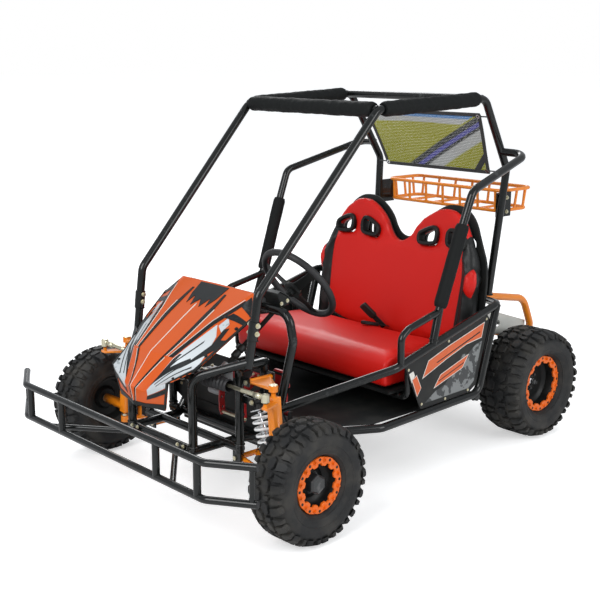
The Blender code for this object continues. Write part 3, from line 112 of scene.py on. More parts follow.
# %% Light and floor
scene = bpy.context.scene
scene.view_settings.view_transform = "Standard"
world = bpy.data.worlds.new("studio")
scene.world = world
world.use_nodes = True
sky = world.node_tree
sky.nodes.clear()
to_camera = add_node(sky, "ShaderNodeLightPath").outputs["Is Camera Ray"]
soft_sky = add_node(sky, "ShaderNodeBackground", {"Color": (0.93, 0.96, 1.0, 1.0), "Strength": 0.62})
white_sky = add_node(sky, "ShaderNodeBackground", {"Color": (1, 1, 1, 1), "Strength": 1.0})
sky_mix = add_node(sky, "ShaderNodeMixShader", {0: to_camera, 1: soft_sky.outputs[0], 2: white_sky.outputs[0]})
add_node(sky, "ShaderNodeOutputWorld", {"Surface": sky_mix.outputs[0]})


def soft_light(name, spot, size, power):
    """A square lamp that faces the kart."""
    lamp = bpy.data.lights.new(name, "AREA")
    lamp.size = size
    lamp.energy = power
    item = bpy.data.objects.new(name, lamp)
    scene.collection.objects.link(item)
    item.location = spot
    item.rotation_euler = (Vector(spot) - Vector((0, 0, 0.5))).to_track_quat("Z", "Y").to_euler()


soft_light("front_lamp", (1.2, -4.6, 3.6), 3.0, 170)
soft_light("side_lamp", (5.0, 0.6, 2.6), 2.6, 90)
soft_light("back_lamp", (-3.8, 2.2, 3.4), 2.4, 90)

floor_mesh = bpy.data.meshes.new("floor")
floor_mesh.from_pydata([(-60, -60, 0), (60, -60, 0), (60, 60, 0), (-60, 60, 0)], [], [(0, 1, 2, 3)])
floor = bpy.data.objects.new("floor", floor_mesh)
scene.collection.objects.link(floor)
floor.location.z = -0.001
floor_paint, floor_nodes, floor_shader = new_material("pale floor", {
    "Base Color": (0.86, 0.86, 0.86, 1.0), "Roughness": 0.9, "Emission Color": (1, 1, 1, 1)})
to_camera = add_node(floor_nodes, "ShaderNodeLightPath").outputs["Is Camera Ray"]
glow = add_node(floor_nodes, "ShaderNodeMath", {0: to_camera, 1: 0.50}, operation="MULTIPLY")
floor_nodes.links.new(glow.outputs[0], floor_shader.inputs["Emission Strength"])
floor_mesh.materials.append(floor_paint)
print("lamps", len(bpy.data.lights))

# %% [markdown]
# Several finishes share small effects: the faint waviness of sprayed paint, grain in rubber and vinyl, patches of
# dust and scuffs. Each effect is one node group with its own inputs, built once and used by many materials.

# %% Shared texture groups
def texture_group(name, inputs, outputs):
    """An empty shader group with a Vector and other named sockets, and what its inputs give."""
    group = bpy.data.node_groups.new(name, "ShaderNodeTree")
    for title, kind, value in [("Vector", "Vector", (0, 0, 0)), *inputs]:
        socket = group.interface.new_socket(title, in_out="INPUT", socket_type="NodeSocket" + kind)
        socket.default_value = value
    for title, kind in outputs:
        group.interface.new_socket(title, in_out="OUTPUT", socket_type="NodeSocket" + kind)
    return group, group.nodes.new("NodeGroupInput").outputs


def math_node(tree, operation, *values):
    """The outcome of a sum whose inputs are numbers or other nodes' sockets."""
    return add_node(tree, "ShaderNodeMath", dict(enumerate(values)), operation=operation).outputs[0]


def noise_node(tree, vector, scale, detail=3.0):
    """A noise texture on the given coordinates."""
    return add_node(tree, "ShaderNodeTexNoise", {"Vector": vector, "Scale": scale, "Detail": detail}).outputs["Fac"]


def blend_colours(tree, mask, low, high, blend="MIX"):
    """Mix two colours by a mask."""
    return add_node(tree, "ShaderNodeMix", {"Factor": mask, "A": low, "B": high}, data_type="RGBA",
                    blend_type=blend).outputs["Result"]


def bump_node(tree, height, strength, distance, **more):
    """A normal tilted by a height."""
    feeds = {"Height": height, "Strength": strength, "Distance": distance, **more}
    return add_node(tree, "ShaderNodeBump", feeds).outputs["Normal"]


def held_mask(tree, value, gain, amount):
    """A value times its gain and its amount, held between 0 and 1."""
    scaled = math_node(tree, "MULTIPLY", math_node(tree, "MULTIPLY", value, gain), amount)
    return add_node(tree, "ShaderNodeClamp", {"Value": scaled}).outputs[0]


def grain_group():
    """Fine bumps: noise at one scale on a broader one, as a normal and a height."""
    group, start = texture_group(
        "surface grain", [("Fine Scale", "Float", 400.0), ("Broad Scale", "Float", 30.0), ("Depth", "Float", 0.1)],
        [("Normal", "Vector"), ("Height", "Float")])
    fine, broad = (noise_node(group, start["Vector"], start[title]) for title in ("Fine Scale", "Broad Scale"))
    height = math_node(group, "ADD", math_node(group, "MULTIPLY", fine, 0.4), math_node(group, "MULTIPLY", broad, 0.6))
    add_node(group, "NodeGroupOutput", {"Normal": bump_node(group, height, start["Depth"], 0.002), "Height": height})
    return group


def dust_group():
    """Pale dust in soft patches; puts out the dusted colour and its mask."""
    group, start = texture_group(
        "settled dust", [("Colour", "Color", (0.1, 0.1, 0.1, 1)), ("Dust", "Color", (0.30, 0.27, 0.22, 1)),
                         ("Amount", "Float", 0.1)],
        [("Colour", "Color"), ("Mask", "Float")])
    lifted = math_node(group, "SUBTRACT", noise_node(group, start["Vector"], 14.0, 5.0), 0.42)
    mask = held_mask(group, lifted, 4.0, start["Amount"])
    add_node(group, "NodeGroupOutput", {"Colour": blend_colours(group, mask, start["Colour"], start["Dust"]),
                                        "Mask": mask})
    return group


def scuff_group():
    """Thin worn streaks; puts out a mask that is 1 on a scuff."""
    group, start = texture_group("worn streaks", [("Scale", "Float", 60.0), ("Amount", "Float", 0.3)],
                                 [("Mask", "Float")])
    broad = noise_node(group, start["Vector"], 9.0, 2.0)
    fine = noise_node(group, start["Vector"], start["Scale"], 6.0)
    edge = math_node(group, "SUBTRACT", math_node(group, "MULTIPLY", broad, fine), 0.36)
    add_node(group, "NodeGroupOutput", {"Mask": held_mask(group, edge, 14.0, start["Amount"])})
    return group


def pebble_group():
    """Moulded vinyl grain: small rounded cells with creases between them."""
    group, start = texture_group("vinyl pebble", [("Scale", "Float", 260.0), ("Depth", "Float", 0.25)],
                                 [("Normal", "Vector"), ("Height", "Float")])
    cells = add_node(group, "ShaderNodeTexVoronoi", {"Vector": start["Vector"], "Scale": start["Scale"]},
                     feature="SMOOTH_F1")
    height = math_node(group, "SUBTRACT",
                       math_node(group, "MULTIPLY", noise_node(group, start["Vector"], 22.0), 1.2),
                       math_node(group, "MULTIPLY", cells.outputs["Distance"], 0.5))
    add_node(group, "NodeGroupOutput", {"Normal": bump_node(group, height, start["Depth"], 0.0015), "Height": height})
    return group


GRAIN, DUST, SCUFF, PEBBLE = grain_group(), dust_group(), scuff_group(), pebble_group()
print("texture groups", [g.name for g in (GRAIN, DUST, SCUFF, PEBBLE)])

# %% [markdown]
# A finish is a Principled shader fed by those groups. Colours are written as the photograph shows them under
# plain light. Black powder paint has a coat of gloss, zinc is metallic and a little yellow, rubber is rough.

# %% Finishes
def place_group(material, group, values):
    """Put a shared group in a material, on Object coordinates."""
    tree = material.node_tree
    coords = tree.nodes.get("Texture Coordinate") or tree.nodes.new("ShaderNodeTexCoord")
    return add_node(tree, "ShaderNodeGroup", {"Vector": coords.outputs["Object"], **values}, node_tree=group)


def finish(name, colour, roughness, metallic=0.0, coat=0.0, dust=0.0, scuff=0.0, scuff_colour=(0.2, 0.2, 0.2),
           grain=(400.0, 30.0, 0.05), pebble=None, sheen=0.0, specular=0.5):
    """A painted, plated or moulded surface with its grain, dust and scuffs."""
    material, nodes, shader = new_material(name, {
        "Metallic": metallic, "Coat Weight": coat, "Coat Roughness": 0.06, "Sheen Weight": sheen,
        "Specular IOR Level": specular})
    if pebble:
        bumps = place_group(material, PEBBLE, dict(zip(("Scale", "Depth"), pebble)))
    else:
        bumps = place_group(material, GRAIN, dict(zip(("Fine Scale", "Broad Scale", "Depth"), grain)))
    settled = place_group(material, DUST, {"Colour": (*colour, 1.0), "Amount": dust}).outputs
    worn = place_group(material, SCUFF, {"Amount": scuff}).outputs["Mask"]
    shade = blend_colours(nodes, worn, settled["Colour"], (*scuff_colour, 1.0))
    rough = math_node(nodes, "MULTIPLY_ADD", settled["Mask"], 0.35, roughness)
    rough = math_node(nodes, "MULTIPLY_ADD", worn, 0.2, rough)
    for title, socket in (("Normal", bumps.outputs["Normal"]), ("Base Color", shade), ("Roughness", rough)):
        nodes.links.new(socket, shader.inputs[title])
    return material


BLACK_PAINT = finish("gloss black paint", (0.004, 0.0050, 0.005), 0.20, coat=0.25, dust=0.01, specular=0.3, scuff=0.35,
                     scuff_colour=(0.05, 0.055, 0.055), grain=(300.0, 40.0, 0.03))
SATIN_BLACK = finish("satin black", (0.009, 0.010, 0.010), 0.42, dust=0.03, grain=(900.0, 60.0, 0.08), specular=0.28)
ORANGE_PAINT = finish("orange paint", (0.84, 0.235, 0.006), 0.30, coat=0.3, dust=0.03, scuff=0.2,
                      scuff_colour=(0.55, 0.13, 0.01), grain=(300.0, 40.0, 0.04))
RING_ORANGE = finish("orange ring paint", (0.80, 0.135, 0.004), 0.34, coat=0.05, specular=0.35, dust=0.03,
                     grain=(700.0, 40.0, 0.05))
HUB_GREY = finish("hub grey", (0.032, 0.034, 0.035), 0.38, grain=(260.0, 80.0, 0.2), scuff=0.4,
                  scuff_colour=(0.16, 0.16, 0.16))
ORANGE_HOOD = finish("orange moulding", (0.60, 0.088, 0.006), 0.30, coat=0.08, specular=0.35,
                     grain=(240.0, 14.0, 0.05), scuff=0.12, scuff_colour=(0.62, 0.11, 0.03))
BLACK_VINYL = finish("black vinyl", (0.010, 0.011, 0.011), 0.45, pebble=(300.0, 0.2), sheen=0.05)
FOAM_COVER = finish("black foam cover", (0.008, 0.009, 0.009), 0.66, grain=(1200.0, 55.0, 0.35), specular=0.15)
RUBBER = finish("tyre rubber", (0.011, 0.0115, 0.012), 0.60, dust=0.10, grain=(700.0, 50.0, 0.25), specular=0.35)
SOFT_RUBBER = finish("soft rubber", (0.012, 0.012, 0.013), 0.55, grain=(900.0, 80.0, 0.12))
ZINC = finish("zinc plate", (0.66, 0.62, 0.46), 0.30, metallic=0.9, scuff=0.3, scuff_colour=(0.45, 0.42, 0.33),
              grain=(900.0, 90.0, 0.05))
BRIGHT_STEEL = finish("bright steel", (0.74, 0.75, 0.76), 0.24, metallic=1.0, scuff=0.2,
                      scuff_colour=(0.5, 0.5, 0.5), grain=(900.0, 120.0, 0.03))
CHROME = finish("chromed rod", (0.80, 0.81, 0.83), 0.10, metallic=1.0, grain=(900.0, 90.0, 0.01))
WHITE_COAT = finish("white spring coating", (0.82, 0.83, 0.83), 0.34, dust=0.05, grain=(500.0, 60.0, 0.05))
GREY_SHEET = finish("pale grey sheet", (0.60, 0.61, 0.57), 0.42, dust=0.10, grain=(500.0, 30.0, 0.05))
SPECKLED = finish("speckled grey", (0.060, 0.064, 0.064), 0.55, scuff=1.3, scuff_colour=(0.34, 0.35, 0.35),
                  grain=(300.0, 120.0, 0.3))
CAST = finish("cast alloy", (0.36, 0.37, 0.38), 0.50, metallic=0.8, grain=(260.0, 80.0, 0.35), dust=0.08)
CHAIN_STEEL = finish("oiled chain", (0.16, 0.15, 0.14), 0.34, metallic=0.9, grain=(900.0, 90.0, 0.05))
print("finishes", len(bpy.data.materials))

# %% [markdown]
# Mesh helpers. A plate has its edges broken with a small bevel, since sheared steel never has a sharp edge, and
# a piece is settled by smoothing its faces up to 40 degrees and naming the body that it moves with.

# %% Mesh helpers
def settle(item, body, slot, replaced=(), angle=40):
    """Shade a finished piece, hang it on the body it rides on and hide the CAD nodes it stands for."""
    item.data.shade_smooth()
    item.data.set_sharp_from_angle(angle=math.radians(angle))
    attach(item, body)
    if replaced:
        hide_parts(*replaced)
    return item


def piece(name, mesh, material=None):
    """A new object at the origin that holds the mesh."""
    item = bpy.data.objects.new(name, mesh)
    mesh.name = name
    scene.collection.objects.link(item)
    if material:
        mesh.materials.clear()
        mesh.materials.append(material)
    return item


def plain_mesh(bm, name="shape"):
    """A mesh from a bmesh, which is freed."""
    mesh = bpy.data.meshes.new(name)
    bm.to_mesh(mesh)
    bm.free()
    return mesh


def from_bm(bm):
    """A mesh from a bmesh, with doubles merged and faces pointing out."""
    bmesh.ops.remove_doubles(bm, verts=bm.verts, dist=1e-6)
    bmesh.ops.recalc_face_normals(bm, faces=bm.faces)
    return plain_mesh(bm)


def from_rings(bm, rings, capped=False):
    """A mesh from rings of points, joined in a loop, or in a row with a face at each end."""
    for low, high in zip(rings, rings[1:] if capped else rings[1:] + rings[:1]):
        for i in range(len(low)):
            j = (i + 1) % len(low)
            bm.faces.new((low[i], low[j], high[j], high[i]))
    if capped:
        bm.faces.new(rings[-1])
        bm.faces.new(rings[0][::-1])
    return from_bm(bm)


def changed(item, keep=False):
    """The item's mesh with its modifiers applied; the item goes unless it is kept."""
    graph = bpy.context.evaluated_depsgraph_get()
    made = bpy.data.meshes.new_from_object(item.evaluated_get(graph))
    if not keep:
        bpy.data.objects.remove(item, do_unlink=True)
    return made


def merged(meshes):
    """One mesh from several, each kept as it is."""
    bm = bmesh.new()
    for mesh in meshes:
        bm.from_mesh(mesh)
        bpy.data.meshes.remove(mesh)
    return plain_mesh(bm, "merged")


def block(low, high, edge=0.0008):
    """A box between two corners with broken edges."""
    bm = bmesh.new()
    bmesh.ops.create_cube(bm, size=1.0)
    corners = list(zip(*[sorted(pair) for pair in zip(low, high)]))
    for vert in bm.verts:
        vert.co = Vector([a + (b - a) * (c + 0.5) for a, b, c in zip(*corners, vert.co)])
    bmesh.ops.bevel(bm, geom=list(bm.edges), offset=edge, segments=2, affect="EDGES")
    return from_bm(bm)


def plate(outline, thickness, origin, across, up, edge=0.0008):
    """A flat plate with an outline in the across and up directions."""
    across, up = Vector(across).normalized(), Vector(up).normalized()
    out = across.cross(up)
    bm = bmesh.new()
    face = bm.faces.new([bm.verts.new(origin + across * a + up * b - out * thickness / 2) for a, b in outline])
    moved = bmesh.ops.extrude_face_region(bm, geom=[face])["geom"]
    bmesh.ops.translate(bm, vec=out * thickness, verts=[v for v in moved if isinstance(v, bmesh.types.BMVert)])
    if edge:
        rims = [e for e in bm.edges if len(e.link_faces) == 2 and e.calc_face_angle(0) > 0.8]
        bmesh.ops.bevel(bm, geom=rims, offset=edge, segments=1, affect="EDGES")
    return from_bm(bm)


def turned(profile, origin, axis, steps=48):
    """Turn a closed outline of (along, radius) pairs about an axis."""
    turn = Vector((0, 0, 1)).rotation_difference(Vector(axis)).to_matrix()
    bm = bmesh.new()
    rings = []
    for along, radius in profile:
        ring = []
        for i in range(steps):
            angle = 2 * math.pi * i / steps
            spot = Vector((radius * math.cos(angle), radius * math.sin(angle), along))
            ring.append(bm.verts.new(Vector(origin) + turn @ spot))
        rings.append(ring)
    return from_rings(bm, rings)


def bar(start, end, radius, steps=24, edge=0.0008):
    """A round bar with turned edges."""
    start, end = Vector(start), Vector(end)
    long = (end - start).length
    profile = [(0, 1e-5), (0, radius - edge), (edge, radius), (long - edge, radius), (long, radius - edge),
               (long, 1e-5)]
    return turned(profile, start, (end - start).normalized(), steps)


print("mesh helpers ready")

# %% [markdown]
# Most of the kart is bent steel tube. A tube is a circle carried along a route whose corners are rounded. In
# Geometry Nodes that is three steps: edges to curve, fillet the corners, and sweep the circle, so one tree
# makes every tube on the kart from lists of corners.

# %% Tube tree
def new_tree(name, sizes):
    """A geometry node tree with named inputs, whose kinds follow from their default values."""
    kinds = {int: "NodeSocketInt", float: "NodeSocketFloat", tuple: "NodeSocketVector"}
    tree = bpy.data.node_groups.new(name, "GeometryNodeTree")
    tree.is_modifier = True
    tree.interface.new_socket("Geometry", in_out="INPUT", socket_type="NodeSocketGeometry")
    for title, value in sizes.items():
        socket = tree.interface.new_socket(title, in_out="INPUT", socket_type=kinds[type(value)])
        socket.default_value = value
    tree.interface.new_socket("Material", in_out="INPUT", socket_type="NodeSocketMaterial")
    tree.interface.new_socket("Geometry", in_out="OUTPUT", socket_type="NodeSocketGeometry")
    return tree, tree.nodes.new("NodeGroupInput").outputs


def close_tree(tree, start, geometry):
    """End a tree with Realize Instances and Set Material."""
    real = add_node(tree, "GeometryNodeRealizeInstances", {"Geometry": geometry})
    paint = add_node(tree, "GeometryNodeSetMaterial", {"Geometry": real.outputs["Geometry"],
                                                       "Material": start["Material"]})
    add_node(tree, "NodeGroupOutput", {"Geometry": paint.outputs["Geometry"]})
    return tree


def run_tree(name, mesh, tree, values, material):
    """Run a tree on a mesh and keep the result as a plain mesh."""
    item = bpy.data.objects.new(name, mesh)
    scene.collection.objects.link(item)
    modifier = item.modifiers.new(tree.name, "NODES")
    modifier.node_group = tree
    names = {s.name: s.identifier for s in tree.interface.items_tree if s.in_out == "INPUT"}
    for title, value in values.items():
        modifier[names[title]] = value
    modifier[names["Material"]] = material
    return changed(item)


def swept(tree, curve, radius, sides, more):
    """Carry a circle along a curve."""
    circle = add_node(tree, "GeometryNodeCurvePrimitiveCircle", {"Radius": radius, "Resolution": sides})
    feeds = {"Curve": curve, "Profile Curve": circle.outputs["Curve"], **more}
    return add_node(tree, "GeometryNodeCurveToMesh", feeds).outputs["Mesh"]


def tube_tree():
    """Sweep a circle along every chain of edges, with rounded corners."""
    tree, start = new_tree("bent tubes", {"Radius": 0.0135, "Bend": 0.045, "Sides": 20})
    curve = add_node(tree, "GeometryNodeMeshToCurve", {"Mesh": start["Geometry"]}).outputs["Curve"]
    fillet = add_node(tree, "GeometryNodeFilletCurve", {"Curve": curve, "Count": 8, "Limit Radius": True,
                                                        "Radius": start["Bend"]}, mode="POLY")
    tube = swept(tree, fillet.outputs["Curve"], start["Radius"], start["Sides"], {"Fill Caps": True})
    return close_tree(tree, start, tube)


TUBES = tube_tree()


def routes_mesh(routes):
    """A mesh that holds each route as its own chain of edges."""
    points, edges = [], []
    for route in routes:
        first = len(points)
        points += [tuple(p) for p in route]
        edges += [(first + i, first + i + 1) for i in range(len(route) - 1)]
    mesh = bpy.data.meshes.new("routes")
    mesh.from_pydata(points, edges, [])
    return mesh


def tubes(routes, radius, bend, material, sides=20):
    """Round tubes along routes."""
    return run_tree("tubes", routes_mesh(routes), TUBES, {"Radius": radius, "Bend": bend, "Sides": sides}, material)


def both_sides(route):
    """A route and its mirror image across the kart."""
    return [route, [Vector((-p[0], p[1], p[2])) for p in route]]


print("tree", TUBES.name)

# %% [markdown]
# Bolts hold everything that isn't welded. A small tree sets a washer and a hexagon head on each point of a
# mesh, turned along the direction stored with the point.

# %% Bolt tree
def on_points(tree, start, instance):
    """End a tree with copies of an instance on the mesh's points, each turned along its point's aim."""
    aim = add_node(tree, "GeometryNodeInputNamedAttribute", {"Name": "aim"}, data_type="FLOAT_VECTOR")
    turn = add_node(tree, "FunctionNodeAlignRotationToVector", {"Vector": aim.outputs["Attribute"]}, axis="Z")
    copies = add_node(tree, "GeometryNodeInstanceOnPoints", {
        "Points": start["Geometry"], "Instance": instance, "Rotation": turn.outputs["Rotation"]})
    return close_tree(tree, start, copies.outputs["Instances"])


def aimed_points(places):
    """A mesh of points from (point, direction) pairs, with each direction stored as the point's aim."""
    mesh = bpy.data.meshes.new("places")
    mesh.from_pydata([tuple(p) for p, _ in places], [], [])
    aim = mesh.attributes.new("aim", "FLOAT_VECTOR", "POINT")
    aim.data.foreach_set("vector", [c for _, a in places for c in Vector(a).normalized()])
    return mesh


def bolt_tree():
    """A washer, a hexagon head and a shank's end on each point, in shares of the bolt's height."""
    tree, start = new_tree("hexagon bolts", {"Head": 0.006, "Height": 0.005, "Washer": 0.008})
    join = tree.nodes.new("GeometryNodeJoinGeometry")
    shank = math_node(tree, "MULTIPLY", start["Head"], 0.62)
    for sides, radius, depth, lift in ((20, start["Washer"], 0.30, 0.10), (6, start["Head"], 1.0, 0.70),
                                       (14, shank, 0.3, 1.25)):
        deep, up = (math_node(tree, "MULTIPLY", start["Height"], share) for share in (depth, lift))
        shape = add_node(tree, "GeometryNodeMeshCylinder", {"Vertices": sides, "Radius": radius, "Depth": deep})
        place = add_node(tree, "ShaderNodeCombineXYZ", {"Z": up})
        move = add_node(tree, "GeometryNodeTransform", {"Geometry": shape.outputs["Mesh"],
                                                        "Translation": place.outputs[0]})
        tree.links.new(move.outputs["Geometry"], join.inputs[0])
    return on_points(tree, start, join.outputs[0])


BOLTS = bolt_tree()


def bolts(places, head=0.006, height=0.005, washer=0.0085, material=ZINC):
    """Hexagon bolts at (point, direction) pairs."""
    sizes = {"Head": head, "Height": height, "Washer": washer}
    return run_tree("bolts", aimed_points(places), BOLTS, sizes, material)


def bolt_piece(name, places, body, slot, **sizes):
    """A set of bolts as one piece."""
    return settle(piece(name, bolts(places, **sizes)), body, slot, angle=30)


print("tree", BOLTS.name)

# %% [markdown]
# The lower frame is welded from tube of two sizes: floor rails, side rails, front towers, seat supports and an
# engine cradle. The routes repeat the CAD's own, so each smooth tube lies exactly where its CAD tube does.

# %% Lower frame
TUBE = 0.0135
RAIL = 0.440
RAIL_BEND, RAIL_END = (0.447, 0.404), (0.946, 0.536)


def rail_height(y):
    """Height of the upper side rail behind its front bend."""
    return RAIL_BEND[1] + (RAIL_END[1] - RAIL_BEND[1]) / (RAIL_END[0] - RAIL_BEND[0]) * (y - RAIL_BEND[0])


frame_routes = []
for route in (
    [kart(0.16, -0.136, 0.200), kart(0.16, 0.050, 0.200), kart(0.38, 0.280, 0.224), kart(RAIL, 0.389, 0.224),
     kart(RAIL, 0.860, 0.240), kart(RAIL, *RAIL_END)],
    [kart(0.285, 0.095, 0.310), kart(RAIL, *RAIL_BEND), kart(RAIL, *RAIL_END), kart(0.280, 1.100, 0.500)],
    [kart(0.285, 0.095, 0.310), kart(0.262, 0.160, 0.213)],
    [kart(0.235, -0.012, 0.187), kart(0.235, -0.012, 0.450)],
    [kart(0.235, 0.085, 0.187), kart(0.235, 0.085, 0.450)],
    [kart(0.235, -0.022, 0.450), kart(0.235, 0.095, 0.450)],
    [kart(0.235, 0.085, 0.330), kart(0.285, 0.100, 0.312)],
    [kart(0.16, -0.130, 0.200), kart(0.16, -0.130, 0.428), kart(0.283, -0.015, 0.478)],
    [kart(0.235, -0.005, 0.450), kart(0.284, -0.012, 0.472)],
    [kart(0.284, -0.017, 0.462), kart(0.2885, -0.001, 0.570)],
    [kart(0.17, 0.860, 0.222), kart(0.17, 0.950, 0.268), kart(0.17, 1.100, 0.290), kart(0.17, 1.100, 0.500)],
):
    frame_routes += both_sides(route)
frame_routes += [
    [kart(-0.166, -0.130, 0.201), kart(0.166, -0.130, 0.201)],
    [kart(-0.243, -0.012, 0.201), kart(0.243, -0.012, 0.201)],
    [kart(-0.243, 0.085, 0.201), kart(0.243, 0.085, 0.201)],
    [kart(-0.16, -0.130, 0.428), kart(0.16, -0.130, 0.428)],
    [kart(-0.380, 0.290, 0.208), kart(0.380, 0.290, 0.208)],
    [kart(-RAIL, 0.860, 0.225), kart(RAIL, 0.860, 0.225)],
    [kart(-0.280, 1.100, 0.500), kart(0.280, 1.100, 0.500)],
    [kart(-0.285, 0.102, 0.305), kart(-0.300, 0.145, 0.515), kart(-0.285, 0.140, 0.602),
     kart(0.285, 0.140, 0.602), kart(0.300, 0.145, 0.515), kart(0.285, 0.102, 0.305)],
]
sleeves = both_sides([kart(0.2878, -0.005, 0.545), kart(0.290, 0.003, 0.600)])
seat_supports = [[kart(-0.424, y, rail_height(y)), kart(-0.424, y, 0.2897), kart(0.424, y, 0.2897),
                  kart(0.424, y, rail_height(y))] for y in (0.520, 0.800)]
frame_plates = []
for s in (-1, 1):
    for y in (-0.012, 0.085):
        frame_plates.append(block(kart(s * 0.203, y - 0.003, 0.151), kart(s * 0.241, y + 0.003, 0.200)))
        frame_plates.append(block(kart(s * 0.235, y - 0.003, 0.403), kart(s * 0.282, y + 0.003, 0.429)))
    for y in (-0.0018, 0.0258):
        frame_plates.append(block(kart(s * 0.239, y - 0.002, 0.344), kart(s * 0.295, y + 0.002, 0.367)))
    frame_plates.append(block(kart(s * 0.231, -0.012, 0.344), kart(s * 0.245, 0.085, 0.367)))
    frame_plates.append(block(kart(s * 0.2345, 0.855, 0.189), kart(s * 0.2395, 0.921, 0.221)))
    x = s * 0.090
    frame_plates.append(block(kart(x - 0.006, -0.134, 0.430), kart(x + 0.006, -0.126, 0.4935), 0.0005))
for x in (0.0482, 0.0758):
    outline = [(1.054, 0.440), (1.078, 0.440), (1.108, 0.500), (1.090, 0.500)]
    frame_plates.append(plate([(AXLE_Y + y, z) for y, z in outline], 0.004, Vector((x, 0, 0)), (0, 1, 0), (0, 0, 1)))
frame_plates.append(block(kart(-0.172, 0.970, 0.279), kart(0.172, 1.030, 0.286)))
plates_mesh = merged(frame_plates)
plates_mesh.materials.append(BLACK_PAINT)
frame_mesh = merged([tubes(frame_routes, TUBE, 0.045, BLACK_PAINT), tubes(sleeves, TUBE + 0.003, 0.01, BLACK_PAINT),
                     tubes(seat_supports, 0.010, 0.025, BLACK_PAINT, 16), plates_mesh])
settle(piece("frame_tubes", frame_mesh, BLACK_PAINT), "chassis", "lower_frame", ["lower_frame"])
print("frame faces", len(frame_mesh.polygons))

# %% [markdown]
# Where two tubes meet, a weld leaves a raised rippled ring. The tree sweeps a thin ring whose radius swells and
# shrinks along its length, which is what a row of overlapping weld puddles looks like.

# %% Weld beads
def weld_tree():
    """A rippled ring round each point, square to the point's aim."""
    tree, start = new_tree("weld beads", {"Ring": 0.0140, "Bead": 0.0018, "Puddles": 26.0})
    ring = add_node(tree, "GeometryNodeCurvePrimitiveCircle", {"Resolution": 78, "Radius": start["Ring"]})
    along = add_node(tree, "GeometryNodeSplineParameter").outputs["Factor"]
    turns = math_node(tree, "MULTIPLY", math_node(tree, "MULTIPLY", along, start["Puddles"]), 2 * math.pi)
    swell = math_node(tree, "MULTIPLY_ADD", math_node(tree, "SINE", turns), 0.22, 1.0)
    thick = math_node(tree, "MULTIPLY", swell, start["Bead"])
    return on_points(tree, start, swept(tree, ring.outputs["Curve"], 1.0, 6, {"Scale": thick}))


WELDS = weld_tree()


def welds(places, ring=TUBE + 0.0008, bead=0.0020):
    """Weld beads round tube ends at (point, direction) pairs."""
    return run_tree("welds", aimed_points(places), WELDS, {"Ring": ring, "Bead": bead}, BLACK_PAINT)


weld_places = []
for s in (-1, 1):
    weld_places += [
        (kart(s * 0.425, 0.860, 0.225), (1, 0, 0)), (kart(s * 0.366, 0.290, 0.208), (1, 0, 0)),
        (kart(s * 0.145, -0.130, 0.201), (1, 0, 0)), (kart(s * 0.145, -0.130, 0.428), (1, 0, 0)),
        (kart(s * 0.235, -0.012, 0.215), (0, 0, 1)), (kart(s * 0.235, 0.085, 0.215), (0, 0, 1)),
        (kart(s * 0.16, -0.130, 0.215), (0, 0, 1)), (kart(s * 0.286, 0.106, 0.322), (0, 0.2, 1)),
        (kart(s * 0.17, 1.100, 0.486), (0, 0, 1)), (kart(s * 0.17, 0.873, 0.229), (0, 1, 0.5)),
        (kart(s * 0.268, 0.143, 0.240), (-0.3, 0.9, -1.2)), (kart(s * 0.2885, -0.003, 0.544), (0, 0.1, 1)),
    ]
settle(piece("frame_welds", welds(weld_places)), "chassis", "lower_frame")
print("welds", len(weld_places))

# %% [markdown]
# The front bumper is two bent tubes with upright posts, open at its ends. It stands on two stays that bolt to
# the frame's front cross tube.

# %% Front bumper
BUMPER_Y, BUMPER_LOW, BUMPER_HIGH = -0.330, 0.200, 0.304
bumper_routes = [[kart(-0.602, -0.254, z + 0.004), kart(-0.472, BUMPER_Y, z), kart(0.472, BUMPER_Y, z),
                  kart(0.602, -0.254, z + 0.004)] for z in (BUMPER_LOW, BUMPER_HIGH)]
bumper_routes += [[kart(x, BUMPER_Y, BUMPER_LOW), kart(x, BUMPER_Y, BUMPER_HIGH)]
                  for x in (-0.443, -0.253, 0.253, 0.443)]
stays = both_sides([kart(x, y, BUMPER_LOW) for x, y in ((0.330, BUMPER_Y), (0.150, -0.190), (0.120, -0.168),
                                                        (0.120, -0.1448))])
end_posts = both_sides([kart(0.590, -0.261, z) for z in (BUMPER_LOW, BUMPER_HIGH + 0.002)])
stay_plates = [block(kart(s * 0.120 - 0.020, -0.1478, 0.182), kart(s * 0.120 + 0.020, -0.1438, 0.218))
               for s in (-1, 1)]
bumper_mesh = merged([tubes(bumper_routes, 0.0110, 0.045, BLACK_PAINT), tubes(stays, 0.009, 0.03, BLACK_PAINT),
                      tubes(end_posts, 0.008, 0.03, BLACK_PAINT), *stay_plates])
settle(piece("bumper_tubes", bumper_mesh, BLACK_PAINT), "chassis", "front_bumper", ["front_bumper"])
end_caps = merged([turned([(-0.004, 1e-5), (-0.004, 0.0104), (0.0, 0.0106), (0.0012, 0.0113), (0.003, 0.0108),
                           (0.0045, 0.008), (0.005, 1e-5)], kart(s * 0.602, -0.254, z), (s * 0.86, 0.5, 0.03), 24)
                   for s in (-1, 1) for z in (0.204, 0.308)])
settle(piece("bumper_caps", end_caps, SOFT_RUBBER), "chassis", "front_bumper")
bumper_bolts = [(kart(s * 0.120 + d, -0.1480, z), (0, -1, 0)) for s in (-1, 1) for d in (-0.014, 0.014)
                for z in (0.188, 0.212)]
bolt_piece("bumper_bolts", bumper_bolts, "chassis", "front_bumper", head=0.0045, height=0.004, washer=0.0060)
print("bumper faces", len(bumper_mesh.polygons))

# %% [markdown]
# The roll cage is bent from the same tube as the frame. Each front pillar slips over a sleeve and is held by two
# bolts with nuts behind, which is how the cage comes off for shipping.

